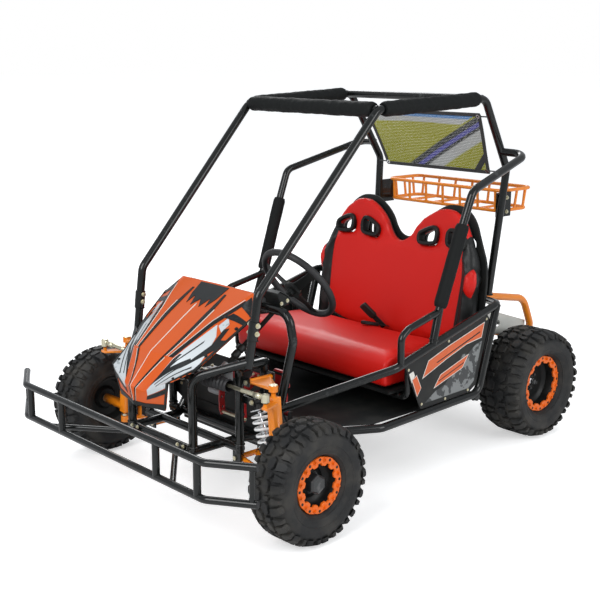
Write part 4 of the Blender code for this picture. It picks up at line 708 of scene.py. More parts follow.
# %% Roll cage
SCREEN_TOP, ROOF_REAR, C_BEND = (0.307, 0.486, 1.192), (0.318, 0.995, 1.214), (0.304, 1.147, 0.968)
PILLAR_LOW, PILLAR_TOP = (0.434, 0.654, 0.562), (0.443, 0.749, 0.832)
roof_join = [c + (r - c) * 0.25 for c, r in zip(C_BEND, ROOF_REAR)]
cage_routes = both_sides([kart(0.290, 0.003, 0.6003), kart(0.292, 0.014, 0.675), kart(*SCREEN_TOP),
                          kart(*ROOF_REAR), kart(*C_BEND), kart(0.280, 1.103, 0.5175)])
cage_routes += both_sides([kart(RAIL, 0.620, rail_height(0.620) + 0.002), kart(*PILLAR_LOW), kart(*PILLAR_TOP),
                           kart(0.446, 0.788, 0.932), kart(0.400, 1.130, 1.025), kart(*roof_join)])
hip_routes = both_sides([kart(RAIL, 0.470, rail_height(0.470) + 0.002), kart(RAIL, 0.470, 0.500),
                         kart(0.439, 0.505, 0.522), kart(0.434, 0.648, 0.553)])
rear_bar = [a + (b - a) * 0.97 for a, b in zip(SCREEN_TOP, ROOF_REAR)]
for corner in (SCREEN_TOP, rear_bar):
    cage_routes.append([kart(-corner[0], corner[1], corner[2]), kart(*corner)])
rack_plates = [block(kart(s * 0.2795, 1.125, 0.795), kart(s * 0.2865, 1.205, 0.882), 0.0010) for s in (-1, 1)]
cage_mesh = merged([tubes(cage_routes, TUBE, 0.045, BLACK_PAINT, 24), tubes(hip_routes, 0.0115, 0.03, BLACK_PAINT)]
                   + rack_plates)
settle(piece("cage_tubes", cage_mesh, BLACK_PAINT), "chassis", "roll_cage", ["roll_cage"])
cage_welds = []
for s in (-1, 1):
    cage_welds += [(kart(s * RAIL, 0.6255, rail_height(0.620) + 0.0165), (0, 0.35, 1)),
                   (kart(s * roof_join[0], roof_join[1] + 0.004, roof_join[2] - 0.004), (0.6, 0.1, -0.3)),
                   (kart(s * 0.281, 1.104, 0.5200), (0, 0, 1))]
settle(piece("cage_welds", welds(cage_welds)), "chassis", "roll_cage")
pillar_bolts, pillar_nuts = [], []
for s in (-1, 1):
    for z in (0.566, 0.590):
        y = 0.003 - (0.600 - z) * 0.14
        pillar_bolts.append((kart(s * 0.2885 + s * 0.0165, y, z), (s, 0, 0)))
        pillar_nuts.append((kart(s * 0.2885 - s * 0.0165, y, z), (-s, 0, 0)))
bolt_piece("pillar_bolts", pillar_bolts + pillar_nuts, "chassis", "roll_cage", head=0.0058, height=0.006,
           washer=0.0080)
plate_bolts = [(kart(s * 0.2868, 1.180, z), (s, 0, 0)) for s in (-1, 1) for z in (0.812, 0.862)]
bolt_piece("rack_plate_bolts", plate_bolts, "chassis", "roll_cage", head=0.0055, height=0.004, washer=0.0075)
print("cage faces", len(cage_mesh.polygons))

# %% [markdown]
# The rear rack is a basket of thin orange tube: a top ring, a lower ring pulled in by a centimetre, leaning
# uprights and floor bars for luggage. The rear hoop is thicker, with wide bends, and bolts to the frame's last
# cross tube by a flange at each end.

# %% Rear rack and rear hoop
RACK_X = 0.2736
rack_top, rack_low = 0.885, 0.812


def ring_route(x, front, rear, z):
    """A closed rectangle that starts and ends in the middle of its front."""
    return [kart(0, front, z), kart(-x, front, z), kart(-x, rear, z), kart(x, rear, z), kart(x, front, z),
            kart(0, front, z)]


rack_routes = [ring_route(RACK_X, 1.165, 1.342, rack_top), ring_route(RACK_X - 0.010, 1.170, 1.332, rack_low)]
post_routes = []
for x in (-0.245, -0.165, -0.082, 0.0, 0.082, 0.165, 0.245):
    post_routes.append([kart(x, 1.170, rack_low), kart(x, 1.165, rack_top)])
    post_routes.append([kart(x, 1.332, rack_low), kart(x, 1.342, rack_top)])
for y in (1.205, 1.255, 1.305):
    post_routes += both_sides([kart(RACK_X - 0.010, y, rack_low), kart(RACK_X, y, rack_top)])
for x in (-0.165, -0.055, 0.055, 0.165):
    post_routes.append([kart(x, 1.170, rack_low), kart(x, 1.332, rack_low)])
rack_mesh = merged([tubes(rack_routes, 0.0065, 0.030, ORANGE_PAINT, 16),
                    tubes(post_routes, 0.0050, 0.01, ORANGE_PAINT, 12)])
settle(piece("rack_tubes", rack_mesh, ORANGE_PAINT), "chassis", "rear_rack", ["rear_rack"])

HOOP_X = 0.25
hoop_half = [(HOOP_X, 1.1168, 0.508), (HOOP_X, 1.355, 0.465), (HOOP_X, 1.414, 0.340), (0.20, 1.414, 0.292)]
hoop_route = [kart(-x, y, z) for x, y, z in hoop_half] + [kart(*spot) for spot in hoop_half[::-1]]
hoop_flanges = [block(kart(s * HOOP_X - 0.014, 1.1138, 0.486), kart(s * HOOP_X + 0.014, 1.1188, 0.530))
                for s in (-1, 1)]
hoop_mesh = merged([tubes([hoop_route], 0.0135, 0.072, ORANGE_PAINT, 24)] + hoop_flanges)
settle(piece("hoop_tube", hoop_mesh, ORANGE_PAINT), "chassis", "rear_hoop", ["rear_hoop"])
bolt_piece("hoop_bolts", [(kart(s * HOOP_X, 1.1190, z), (0, 1, 0)) for s in (-1, 1) for z in (0.4905, 0.5255)],
           "chassis", "rear_hoop", head=0.0035, height=0.003, washer=0.0045)
print("rack and hoop", len(rack_mesh.polygons), len(hoop_mesh.polygons))

# %% [markdown]
# A knobby tyre is a smooth carcass with blocks of rubber standing on it. One pitch of blocks is modelled at the
# top of the tyre, and a tree turns copies of it about the axle. On each side of the middle the pitch has two blocks
# on the crown and two on the shoulder, and the sides are staggered so that the wheel rolls evenly.

# %% Turned copies tree
def round_copies_tree():
    """Copies of the mesh turned about the X axis, then moved to the wheel's centre."""
    tree, start = new_tree("copies round an axle", {"Count": 18, "Centre": (0.0, 0.0, 0.0)})
    points = add_node(tree, "GeometryNodePoints", {"Count": start["Count"]})
    share = math_node(tree, "DIVIDE", add_node(tree, "GeometryNodeInputIndex").outputs[0], start["Count"])
    turn = add_node(tree, "ShaderNodeCombineXYZ", {"X": math_node(tree, "MULTIPLY", share, 2 * math.pi)})
    copies = add_node(tree, "GeometryNodeInstanceOnPoints", {
        "Points": points.outputs[0], "Instance": start["Geometry"], "Rotation": turn.outputs[0]})
    move = add_node(tree, "GeometryNodeTransform", {"Geometry": copies.outputs["Instances"],
                                                    "Translation": start["Centre"]})
    return close_tree(tree, start, move.outputs["Geometry"])


ROUND_COPIES = round_copies_tree()


def round_copies(mesh, count, centre, material):
    """A mesh modelled at the top of a wheel at the origin, repeated round the wheel."""
    return run_tree("copies", mesh, ROUND_COPIES, {"Count": count, "Centre": tuple(centre)}, material)


print("tree", ROUND_COPIES.name)

# %% Tyre shapes
def tyre_section(half, radius, bead):
    """The carcass as one closed outline of (across, radius) points: crown, sidewalls and beads."""
    wall = (radius + bead) / 2
    outer = [(half * share, r) for share, r in (
        (0.50, bead), (0.66, bead + 0.004), (0.84, bead + 0.014), (0.965, wall - 0.018), (1.0, wall - 0.002),
        (0.99, wall + 0.010), (0.95, radius - 0.034), (0.86, radius - 0.022), (0.70, radius - 0.0135),
        (0.46, radius - 0.0095), (0.20, radius - 0.0080))]
    left = [(-x, r) for x, r in outer[::-1]]
    inner = [(-half * 0.42, bead + 0.010), (-half * 0.72, wall), (-half * 0.5, radius - 0.022),
             (half * 0.5, radius - 0.022), (half * 0.72, wall), (half * 0.42, bead + 0.010)]
    return outer + left + inner


def lug(points, base, top):
    """A tread block on the crown or shoulder: an outline of (across, around) points, tapered towards its top."""
    bm = bmesh.new()
    middle = Vector((sum(p[0] for p in points) / len(points), sum(p[1] for p in points) / len(points)))
    rings = []
    for height, grow in ((0.0, 1.10), (0.82, 0.97), (1.0, 0.90)):
        ring = []
        for across, around in points:
            x = middle.x + (across - middle.x) * grow
            v = middle.y + (around - middle.y) * grow
            radius = base(x) + (top(x) - base(x)) * height
            ring.append(bm.verts.new((x, radius * math.sin(v), radius * math.cos(v))))
        rings.append(ring)
    return from_rings(bm, rings, capped=True)


# Outlines of (share of the half width, share of the pitch): two blocks on the crown and two on the shoulder
TREAD_BLOCKS = [
    [(0.06, 0.10), (0.30, 0.02), (0.42, 0.16), (0.40, 0.52), (0.24, 0.62), (0.05, 0.48)],
    [(0.14, 0.74), (0.36, 0.68), (0.48, 0.78), (0.46, 0.94), (0.16, 0.90)],
    [(0.54, 0.04), (0.90, 0.12), (0.99, 0.22), (0.98, 0.42), (0.88, 0.50), (0.53, 0.42)],
    [(0.60, 0.58), (0.93, 0.64), (0.94, 0.84), (0.60, 0.92)],
]


def tread_pitch(half, radius, pitch):
    """One pitch of tread: two crown blocks and two shoulder blocks on each side, staggered."""
    def base(x):
        return radius - 0.0105 - 0.030 * max(0.0, abs(x) / half - 0.52) ** 1.15 - 0.004

    def top(x):
        return radius - 0.0005 - 0.045 * max(0.0, abs(x) / half - 0.55) ** 1.5
    return merged([lug([(s * half * x, (v + shift) * pitch) for x, v in outline], base, top)
                   for s, shift in ((1, 0.0), (-1, 0.5)) for outline in TREAD_BLOCKS])


def side_ribs(half, radius, bead, s):
    """Raised ring lines on the sidewall."""
    wall = (radius + bead) / 2
    rings = []
    for r, x in ((bead + 0.012, half * 0.83), (wall - 0.015, half * 0.968)):
        outline = [(x, r), (x + 0.0014, r + 0.0008), (x + 0.0012, r + 0.0030), (x, r + 0.0038)]
        rings.append(turned([(s * across, height) for across, height in outline], (0, 0, 0), (1, 0, 0), 96))
    return merged(rings)


def make_tyre(name, body, centre, radius, width, rim_radius, pitches):
    """A whole tyre about its wheel's centre."""
    half = width / 2
    bead = rim_radius + 0.004
    carcass = turned(tyre_section(half, radius, bead), centre, (1, 0, 0), 96)
    tread = round_copies(tread_pitch(half, radius, 2 * math.pi / pitches), pitches, centre, RUBBER)
    ribs = merged([side_ribs(half, radius, bead, s) for s in (-1, 1)])
    ribs.transform(Matrix.Translation(centre))
    tyre = piece(name + "_tread", merged([carcass, tread, ribs]), RUBBER)
    return settle(tyre, body, name, [name], 32)


print("tyre shapes ready")

# %% [markdown]
# The wheel is a pressed steel barrel with a dished disc. A toothed orange ring is bolted on its face. A bolt on a
# round boss sits on each tooth, and a round hole lies between every two bolts.

# %% Wheel shapes
RIM_SHARE = 0.53  # how far the rim's edges stand out, as a share of the tyre's half width


def make_rim(name, body, centre, width, rim_radius, s):
    """Barrel, flanges and disc, turned as one shell, with wheel nuts and an axle nut."""
    half = width / 2 * RIM_SHARE
    lip = rim_radius
    profile = [(-half - 0.004, lip + 0.004), (-half, lip + 0.0045), (-half + 0.004, lip - 0.001),
               (-half * 0.4, lip - 0.003), (half * 0.4, lip - 0.003), (half - 0.004, lip - 0.001),
               (half, lip + 0.003), (half + 0.006, lip + 0.004), (half + 0.006, lip - 0.003),
               (half - 0.004, lip - 0.009), (0.018, lip - 0.012), (0.010, lip - 0.020), (0.006, lip - 0.030),
               (0.008, 0.040), (0.014, 0.033), (0.016, 0.015), (-0.010, 0.015), (-0.010, 0.032), (0.002, 0.042),
               (0.000, lip - 0.024), (-0.004, lip - 0.014), (-half, lip - 0.006)]
    parts = [painted(turned(profile, centre, (s, 0, 0), 64), SATIN_BLACK)]
    nut_ring = [centre + Vector((s * 0.0145, 0.025 * math.sin(a), 0.025 * math.cos(a)))
                for a in (math.pi / 2 * i + 0.4 for i in range(4))]
    parts.append(bolts([(spot, (s, 0, 0)) for spot in nut_ring], 0.0055, 0.006, 0.0075, HUB_GREY))
    parts.append(painted(turned([(0.014, 1e-5), (0.014, 0.012), (0.024, 0.0115), (0.026, 0.009), (0.030, 0.008),
                                 (0.031, 1e-5)], centre, (s, 0, 0), 18), HUB_GREY))
    if body.startswith("front"):
        parts.append(painted(turned([(0.0165, 1e-5), (0.0165, 0.0320), (0.0400, 0.0300), (0.0450, 0.0240),
                                     (0.0460, 1e-5)], centre, (s, 0, 0), 6), HUB_GREY))
    return settle(piece(name + "_disc", merged_by_finish(parts)), body, name, [name], 35)


def painted(mesh, material):
    """The mesh with one material."""
    mesh.materials.clear()
    mesh.materials.append(material)
    return mesh


def merged_by_finish(meshes):
    """One mesh from several, each keeping its own material."""
    finishes = []
    for mesh in meshes:
        for material in mesh.materials:
            if material not in finishes:
                finishes.append(material)
    bm = bmesh.new()
    for mesh in meshes:
        start = len(bm.faces)
        own = [finishes.index(m) for m in mesh.materials]
        bm.from_mesh(mesh)
        bm.faces.ensure_lookup_table()
        for face in bm.faces[start:]:
            face.material_index = own[face.material_index]
        bpy.data.meshes.remove(mesh)
    joined = plain_mesh(bm, "merged")
    for material in finishes:
        joined.materials.append(material)
    return joined


def ring_outline(inner, outer, teeth):
    """Inner and outer edges of the bead ring, as matching lists of points."""
    steps = teeth * 12
    inside, outside = [], []
    for i in range(steps):
        angle = 2 * math.pi * i / steps
        wave = math.cos(angle * teeth)
        bite = 0.0082 / (1 + math.exp(-10 * (wave - 0.15)))
        knurl = 0.0012 / (1 + math.exp(8 * math.cos(angle * teeth)))
        inside.append(((inner + bite) * math.cos(angle), (inner + bite) * math.sin(angle)))
        outside.append(((outer - knurl) * math.cos(angle), (outer - knurl) * math.sin(angle)))
    return inside, outside


def make_ring(name, body, centre, width, rim_radius, s, teeth=12):
    """The orange bead ring with its bolts."""
    face = width / 2 * RIM_SHARE + 0.0063
    outer, inner = rim_radius + 0.006, rim_radius - 0.0215
    inside, outside = ring_outline(inner, outer, teeth)
    bm = bmesh.new()
    rings = []
    for points, depth, grow in ((inside, 0.0, 0.0), (inside, 0.0045, 0.0), (inside, 0.0058, 0.0010),
                                (outside, 0.0058, -0.0010), (outside, 0.0045, 0.0), (outside, 0.0, 0.0)):
        ring = []
        for y, z in points:
            k = (math.hypot(y, z) + grow) / math.hypot(y, z)
            ring.append(bm.verts.new(centre + Vector((s * (face + depth), y * k, z * k))))
        rings.append(ring)
    plate_mesh = painted(from_rings(bm, rings), RING_ORANGE)
    middle = (outer + inner) / 2 + 0.0035
    heads, holes, bosses = [], [], []
    for i in range(teeth):
        angle = 2 * math.pi * (i + 0.5) / teeth
        spot = centre + Vector((s * (face + 0.0058), middle * math.cos(angle), middle * math.sin(angle)))
        heads.append((spot + Vector((s * 0.0012, 0, 0)), (s, 0, 0)))
        bosses.append(painted(turned([(-0.0010, 1e-5), (-0.0010, 0.0084), (0.0004, 0.0080), (0.0012, 0.0072),
                                      (0.0012, 1e-5)], spot, (s, 0, 0), 6), RING_ORANGE))
        angle = 2 * math.pi * i / teeth
        reach = outer - 0.0075
        spot = centre + Vector((s * (face + 0.0050), reach * math.cos(angle), reach * math.sin(angle)))
        holes.append(turned([(0, 1e-5), (0, 0.0042), (0.0010, 0.0045), (0.0010, 1e-5)], spot, (s, 0, 0), 14))
    made = merged_by_finish([plate_mesh, bolts(heads, 0.0042, 0.0040, 0.0054, RING_ORANGE),
                             painted(merged(holes), SATIN_BLACK), *bosses])
    return settle(piece(name + "_plate", made), body, name, [name], 30)


print("wheel shapes ready")

# %% All four wheels
FRONT = {"half_track": 0.524, "y": 0, "radius": 0.180, "width": 0.136, "rim_radius": 0.078, "pitches": 17}
REAR = {"half_track": 0.379, "y": 1.230, "radius": 0.197, "width": 0.178, "rim_radius": 0.096, "pitches": 18}
for tag, s in SIDES:
    for end, body, sizes in (("front", "front_wheel_" + tag, FRONT), ("rear", "rear_axle", REAR)):
        radius, width, rim_radius = sizes["radius"], sizes["width"], sizes["rim_radius"]
        hub = kart(s * sizes["half_track"], sizes["y"], radius)
        make_tyre(f"{end}_tyre_{tag}", body, hub, radius, width, rim_radius, sizes["pitches"])
        make_rim(f"{end}_rim_{tag}", body, hub, width, rim_radius, s)
        make_ring(f"{end}_ring_{tag}", body, hub, width, rim_radius, s)

# %% [markdown]
# The hood is a thin moulding: a flat top between two creases, sloping cheeks, and a fold where it turns down to
# the nose. A chart of the surface runs 0 to 1 from nose to cockpit and -1 to 1 across, so the moulding and the
# stripes stuck on it come from the same few stations.

# %% Hood moulding
hood_rows = [
    [(0.000, -0.228, 0.330), (0.040, -0.214, 0.330), (0.115, -0.196, 0.330)],
    [(0.000, -0.240, 0.392), (0.041, -0.224, 0.378), (0.145, -0.206, 0.425)],
    [(0.000, -0.163, 0.484), (0.087, -0.158, 0.483), (0.180, -0.130, 0.455)],
    [(0.000, -0.035, 0.573), (0.132, -0.033, 0.572), (0.212, -0.030, 0.535)],
    [(0.000, 0.093, 0.657), (0.177, 0.093, 0.655), (0.232, 0.060, 0.600)],
]
hood_across = [0.0, 0.55, 1.0]
hood_along = [0.0, 0.16, 0.40, 0.70, 1.0]


def hood_point(across, along):
    """A place on the hood's outer face."""
    s = -1 if across < 0 else 1
    a = min(abs(across), 1.0)
    row = max(i for i in range(4) if along >= hood_along[i] - 1e-9)
    column = 0 if a <= hood_across[1] else 1
    t = (along - hood_along[row]) / (hood_along[row + 1] - hood_along[row])
    u = (a - hood_across[column]) / (hood_across[column + 1] - hood_across[column])
    low = Vector(hood_rows[row][column]).lerp(Vector(hood_rows[row][column + 1]), u)
    high = Vector(hood_rows[row + 1][column]).lerp(Vector(hood_rows[row + 1][column + 1]), u)
    spot = low.lerp(high, t)
    return kart(s * spot.x, spot.y, spot.z)


def hood_normal(across, along):
    """Outward direction of the hood's face at a place on the chart."""
    step = 0.01
    a0, a1 = max(-1.0, across - step), min(1.0, across + step)
    v0, v1 = max(0.0, along - step), min(1.0, along + step)
    left_to_right = hood_point(a1, along) - hood_point(a0, along)
    nose_to_back = hood_point(across, v1) - hood_point(across, v0)
    return left_to_right.cross(nose_to_back).normalized()


def charted(outline, lift, thickness):
    """A sheet cut to an outline on the chart, laid on the hood and given a thickness."""
    bm = bmesh.new()
    bm.faces.new([bm.verts.new((a, v, 0)) for a, v in outline])
    cuts_across = [-1.0 + 0.05 * i for i in range(1, 40)] + [-hood_across[1], hood_across[1]]
    cuts_along = [0.05 * i for i in range(1, 20)] + hood_along[1:4]
    for spot, normal in ([((value, 0, 0), (1, 0, 0)) for value in cuts_across]
                         + [((0, value, 0), (0, 1, 0)) for value in cuts_along]):
        geometry = list(bm.verts) + list(bm.edges) + list(bm.faces)
        bmesh.ops.bisect_plane(bm, geom=geometry, plane_co=spot, plane_no=normal, dist=1e-5)
    top = {}
    for vert in list(bm.verts):
        a, v = vert.co.x, min(max(vert.co.y, 0.0), 1.0)
        normal = hood_normal(a, v)
        top[vert] = (hood_point(a, v) + normal * lift, normal)
    for vert, (spot, _) in top.items():
        vert.co = spot
    bmesh.ops.recalc_face_normals(bm, faces=bm.faces)
    if sum(f.normal.dot(top[f.verts[0]][1]) for f in bm.faces) < 0:
        bmesh.ops.reverse_faces(bm, faces=bm.faces)
    item = piece("sheet", plain_mesh(bm))
    wall = item.modifiers.new("Wall", "SOLIDIFY")
    wall.thickness = thickness
    wall.offset = -1
    return changed(item)


hood_mesh = charted([(-1, 0), (1, 0), (1, 1), (-1, 1)], 0.0, 0.004)
hood_shell = piece("hood_shell", hood_mesh, ORANGE_HOOD)
round_off = hood_shell.modifiers.new("Bevel", "BEVEL")
round_off.width = 0.0015
round_off.segments = 2
round_off.limit_method = "ANGLE"
round_off.angle_limit = math.radians(12)
settle(hood_shell, "chassis", "hood", ["hood"], 40)
print("hood faces", len(hood_mesh.polygons))

# %% [markdown]
# The striping is thin vinyl film stuck on the moulding: dark bands that follow the creases, silver flashes with
# dark strokes on the cheeks and narrow pale pinlines. It is a plain pattern of its own, cut as sheets on the hood's
# chart. Each film stands a little prouder than the one under it, so that none of them sinks into the moulding.

# %% Hood striping
STRIPE_BLACK = finish("dark film", (0.008, 0.010, 0.011), 0.34, specular=0.3, grain=(240.0, 14.0, 0.04), scuff=0.25,
                      scuff_colour=(0.10, 0.11, 0.11))
STRIPE_SILVER = finish("silver film", (0.60, 0.64, 0.66), 0.30, metallic=0.25, grain=(240.0, 20.0, 0.05), scuff=1.4,
                       scuff_colour=(0.38, 0.42, 0.44), coat=0.3)
STRIPE_PALE = finish("pale film", (0.74, 0.72, 0.66), 0.35, grain=(240.0, 20.0, 0.03))


def mirrored(outline):
    """An outline and its reflection across the middle of the hood."""
    return [outline, [(-a, v) for a, v in outline[::-1]]]


dark_bands = []
for outline in (
    [(0.045, 0.005), (0.085, 0.005), (0.44, 0.385), (0.40, 0.405)],
    [(0.40, 0.395), (0.455, 0.40), (0.385, 0.66), (0.34, 0.80), (0.28, 0.93), (0.25, 0.93), (0.29, 0.76)],
    [(0.545, 0.40), (0.60, 0.405), (0.60, 0.70), (0.66, 0.94), (0.60, 0.94), (0.535, 0.72)],
    [(0.60, 0.07), (0.98, 0.10), (0.98, 0.13), (0.62, 0.105)],
    [(0.62, 0.19), (0.86, 0.43), (0.80, 0.455), (0.68, 0.34), (0.655, 0.45), (0.625, 0.445)],
    [(0.80, 0.34), (0.985, 0.62), (0.985, 0.69), (0.90, 0.66), (0.84, 0.76), (0.79, 0.73), (0.86, 0.60)],
    [(0.62, 0.78), (0.985, 0.86), (0.985, 0.90), (0.66, 0.84)],
    [(0.62, 0.90), (0.80, 0.92), (0.985, 0.945), (0.985, 0.985), (0.62, 0.985)],
):
    dark_bands += mirrored(outline)
dark_bands.append([(-0.22, 0.985), (-0.215, 0.88), (-0.175, 0.80), (-0.13, 0.87), (-0.08, 0.79), (0.0, 0.85),
                   (0.08, 0.79), (0.13, 0.87), (0.175, 0.80), (0.215, 0.88), (0.22, 0.985)])
silver_flashes = []
for outline in (
    [(0.63, 0.11), (0.98, 0.135), (0.98, 0.43), (0.90, 0.56), (0.80, 0.66), (0.64, 0.72), (0.615, 0.50), (0.62, 0.26)],
    [(0.67, 0.72), (0.80, 0.70), (0.78, 0.78), (0.665, 0.80)],
):
    silver_flashes += mirrored(outline)
pinlines = []
for outline in (
    [(0.095, 0.005), (0.103, 0.005), (0.466, 0.385), (0.455, 0.39)],
    [(0.466, 0.40), (0.476, 0.40), (0.402, 0.66), (0.356, 0.80), (0.345, 0.80), (0.392, 0.66)],
    [(0.528, 0.40), (0.537, 0.40), (0.527, 0.72), (0.585, 0.94), (0.575, 0.94), (0.516, 0.72)],
):
    pinlines += mirrored(outline)
pinlines.append([(-0.006, 0.005), (0.006, 0.005), (0.007, 0.80), (0.0, 0.815), (-0.007, 0.80)])
silver_strokes = []
for outline in (
    [(0.69, 0.20), (0.705, 0.19), (0.83, 0.41), (0.815, 0.42)],
    [(0.77, 0.17), (0.785, 0.16), (0.93, 0.40), (0.91, 0.41)],
    [(0.66, 0.36), (0.675, 0.35), (0.74, 0.58), (0.725, 0.60)],
):
    silver_strokes += mirrored(outline)
for name, outlines, film, lift in (("hood_silver", silver_flashes, STRIPE_SILVER, 0.0011),
                                   ("hood_dark", dark_bands + silver_strokes, STRIPE_BLACK, 0.0015),
                                   ("hood_pinlines", pinlines, STRIPE_PALE, 0.0013)):
    film_mesh = merged([charted(outline, lift, lift + 0.0003) for outline in outlines])
    settle(piece(name, film_mesh, film), "chassis", "hood", angle=30)
    print(name, len(film_mesh.polygons))
hood_screws = [(hood_point(s * 0.93, along), hood_normal(s * 0.90, along))
               for s in (-1, 1) for along in (0.24, 0.52, 0.80, 0.95)]
edge_strips = [[(-1, 0), (1, 0), (1, 0.035), (-1, 0.035)]] + mirrored([(0.965, 0.035), (1, 0.035), (1, 1), (0.965, 1)])
trim = merged([charted(outline, 0.0020, 0.0066) for outline in edge_strips])
settle(piece("hood_edge_trim", trim, SATIN_BLACK), "chassis", "hood", angle=30)
bolt_piece("hood_screws", hood_screws, "chassis", "hood", head=0.0042, height=0.0030, washer=0.0060,
           material=SATIN_BLACK)

# %% [markdown]
# The seat is foam under vinyl. Its skin is blown up a little by a cloth simulation, which rounds the edges and
# draws the sides in between the corners, as stuffing does. A voxel remesh first gives the cloth an even skin
# and joins the back to its side bolsters. The move of every point is capped, so that the pad keeps its place.

# %% Padding helpers
def voxel_skin(mesh, voxel):
    """An even skin round a closed form, with overlapping parts joined."""
    item = piece("padding form", mesh)
    skin = item.modifiers.new("Remesh", "REMESH")
    skin.mode = "VOXEL"
    skin.voxel_size = voxel
    return changed(item)


def plumped(mesh, pressure, cap, frames=20):
    """The skin after its filling pushes it out, with no point moved by more than the cap."""
    item = piece("padding skin", mesh)
    before = [v.co.copy() for v in mesh.vertices]
    cloth = item.modifiers.new("Filling", "CLOTH").settings
    cloth.quality = 6
    cloth.use_pressure = True
    cloth.uniform_pressure_force = pressure
    cloth.effector_weights.gravity = 0
    cloth.tension_stiffness = cloth.compression_stiffness = 15
    for step in range(1, frames + 1):
        scene.frame_set(step)
    blown = changed(item, keep=True)
    for vert, start, moved in zip(mesh.vertices, before, blown.vertices):
        change = moved.co - start
        if change.length > cap:
            change *= cap / change.length
        vert.co = start + change
    bpy.data.meshes.remove(blown)
    item.modifiers.clear()
    scene.frame_set(1)
    smooth = item.modifiers.new("Even", "SMOOTH")
    smooth.factor = 0.5
    smooth.iterations = 4
    return changed(item)


def two_tone(name, high, low, width=0.0009, groove_width=0.0030):
    """Vinyl in two colours, parted by a sewn seam where the zone attribute passes nought, with painted shade in the
    seam's groove.
    """
    material, nodes, shader = new_material(name, {"Roughness": 0.42, "Specular IOR Level": 0.35})
    zone = add_node(nodes, "ShaderNodeAttribute", attribute_name="zone").outputs["Fac"]
    side = add_node(nodes, "ShaderNodeMapRange", {"From Min": -width, "From Max": width, "Value": zone},
                    interpolation_type="SMOOTHSTEP").outputs["Result"]
    distance = math_node(nodes, "ABSOLUTE", zone)
    groove = add_node(nodes, "ShaderNodeMapRange", {"From Max": groove_width, "Value": distance},
                      interpolation_type="SMOOTHSTEP").outputs["Result"]
    # Painted shade: the colour is darkened to 0.65 in the seam's groove, on top of the groove's bump.
    painted_seam_shade = math_node(nodes, "MULTIPLY_ADD", groove, 0.35, 0.65)
    base = blend_colours(nodes, side, (*low, 1.0), (*high, 1.0))
    pebbles = place_group(material, PEBBLE, {"Scale": 300.0, "Depth": 0.16}).outputs["Normal"]
    nodes.links.new(blend_colours(nodes, 1.0, base, painted_seam_shade, "MULTIPLY"), shader.inputs["Base Color"])
    nodes.links.new(bump_node(nodes, groove, 0.7, 0.0012, Normal=pebbles), shader.inputs["Normal"])
    return material


def zone_values(mesh, measure):
    """Store on every point how far it is inside the red panels, in metres."""
    zone = mesh.attributes.new("zone", "FLOAT", "POINT")
    zone.data.foreach_set("value", [measure(v.co) for v in mesh.vertices])


def inside(point, outline):
    """Signed distance of a flat point from an outline, positive inside."""
    x, y = point
    least, within = 1e9, False
    for (ax, ay), (bx, by) in zip(outline, outline[1:] + outline[:1]):
        dx, dy = bx - ax, by - ay
        t = max(0.0, min(1.0, ((x - ax) * dx + (y - ay) * dy) / (dx * dx + dy * dy)))
        least = min(least, math.hypot(x - ax - t * dx, y - ay - t * dy))
        if (ay > y) != (by > y) and x < ax + (y - ay) * dx / dy:
            within = not within
    return least if within else -least


SEAT_VINYL = two_tone("red and black vinyl", (0.62, 0.008, 0.004), (0.008, 0.009, 0.009))
print("padding helpers ready")

# %% [markdown]
# The back leans in a plane through its foot and its top edge. Points on it are written as across, up that
# plane, and out in front of it. The outline has two shoulders with a valley between them.

# %% Seat back plane
back_foot = kart(0, 0.905, 0.300)
back_up = kart(0, 0.995, 0.835) - back_foot
back_height = back_up.length
back_up.normalize()
back_out = Vector((1, 0, 0)).cross(back_up)
half_back = [(0.385, 0.00), (0.385, 0.45), (0.375, 0.66), (0.335, 0.80), (0.300, 0.93), (0.250, 1.00),
             (0.205, 1.012), (0.160, 1.00), (0.085, 0.91), (0.045, 0.79), (0.000, 0.755)]
print("seat back is", round(back_height, 3), "m high")


def on_back(across, up, out):
    """A point written in the seat back's own directions."""
    return back_foot + Vector((across, 0, 0)) + back_up * up + back_out * out


def rounded_outline(points, rounds=3):
    """Cut the corners of a closed outline, again and again."""
    for _ in range(rounds):
        cut = []
        for (ax, ay), (bx, by) in zip(points, points[1:] + points[:1]):
            cut.append((ax * 0.75 + bx * 0.25, ay * 0.75 + by * 0.25))
            cut.append((ax * 0.25 + bx * 0.75, ay * 0.25 + by * 0.75))
        points = cut
    return points


def back_outline(inset, foot):
    """The whole outline, moved in by the inset, from the foot's height up."""
    half = []
    for i, (x, share) in enumerate(half_back):
        if i == 0:
            half.append((x - inset, foot))
        elif i < 6:
            half.append((x - inset, share * back_height - (inset if share > 0.9 else 0)))
        else:
            half.append((x, share * back_height - inset))
    return half + [(-x, v) for x, v in half[-2::-1]]


# %% Back padding form
slot_shape = [(-0.034, -0.014), (-0.035, 0.014), (-0.028, 0.027), (-0.012, 0.027), (0.030, 0.008), (0.040, -0.002),
              (0.040, -0.020), (0.031, -0.027), (-0.024, -0.023)]
slots = []
for centre in (-0.205, 0.205):
    for side in (-1, 1):
        shape = [(side * x, y) for x, y in slot_shape]
        slots.append((centre + side * 0.062, 0.80 * back_height, shape if side > 0 else shape[::-1]))


def side_roll(s):
    """The bolster down one side, as a bent roll that stands in front of the back."""
    places = [(0.352, 0.030, 0.036), (0.352, 0.24, 0.042), (0.345, 0.345, 0.040), (0.312, 0.425, 0.034),
              (0.275, 0.490, 0.026)]
    return [on_back(s * x, v, w) for x, v, w in places]


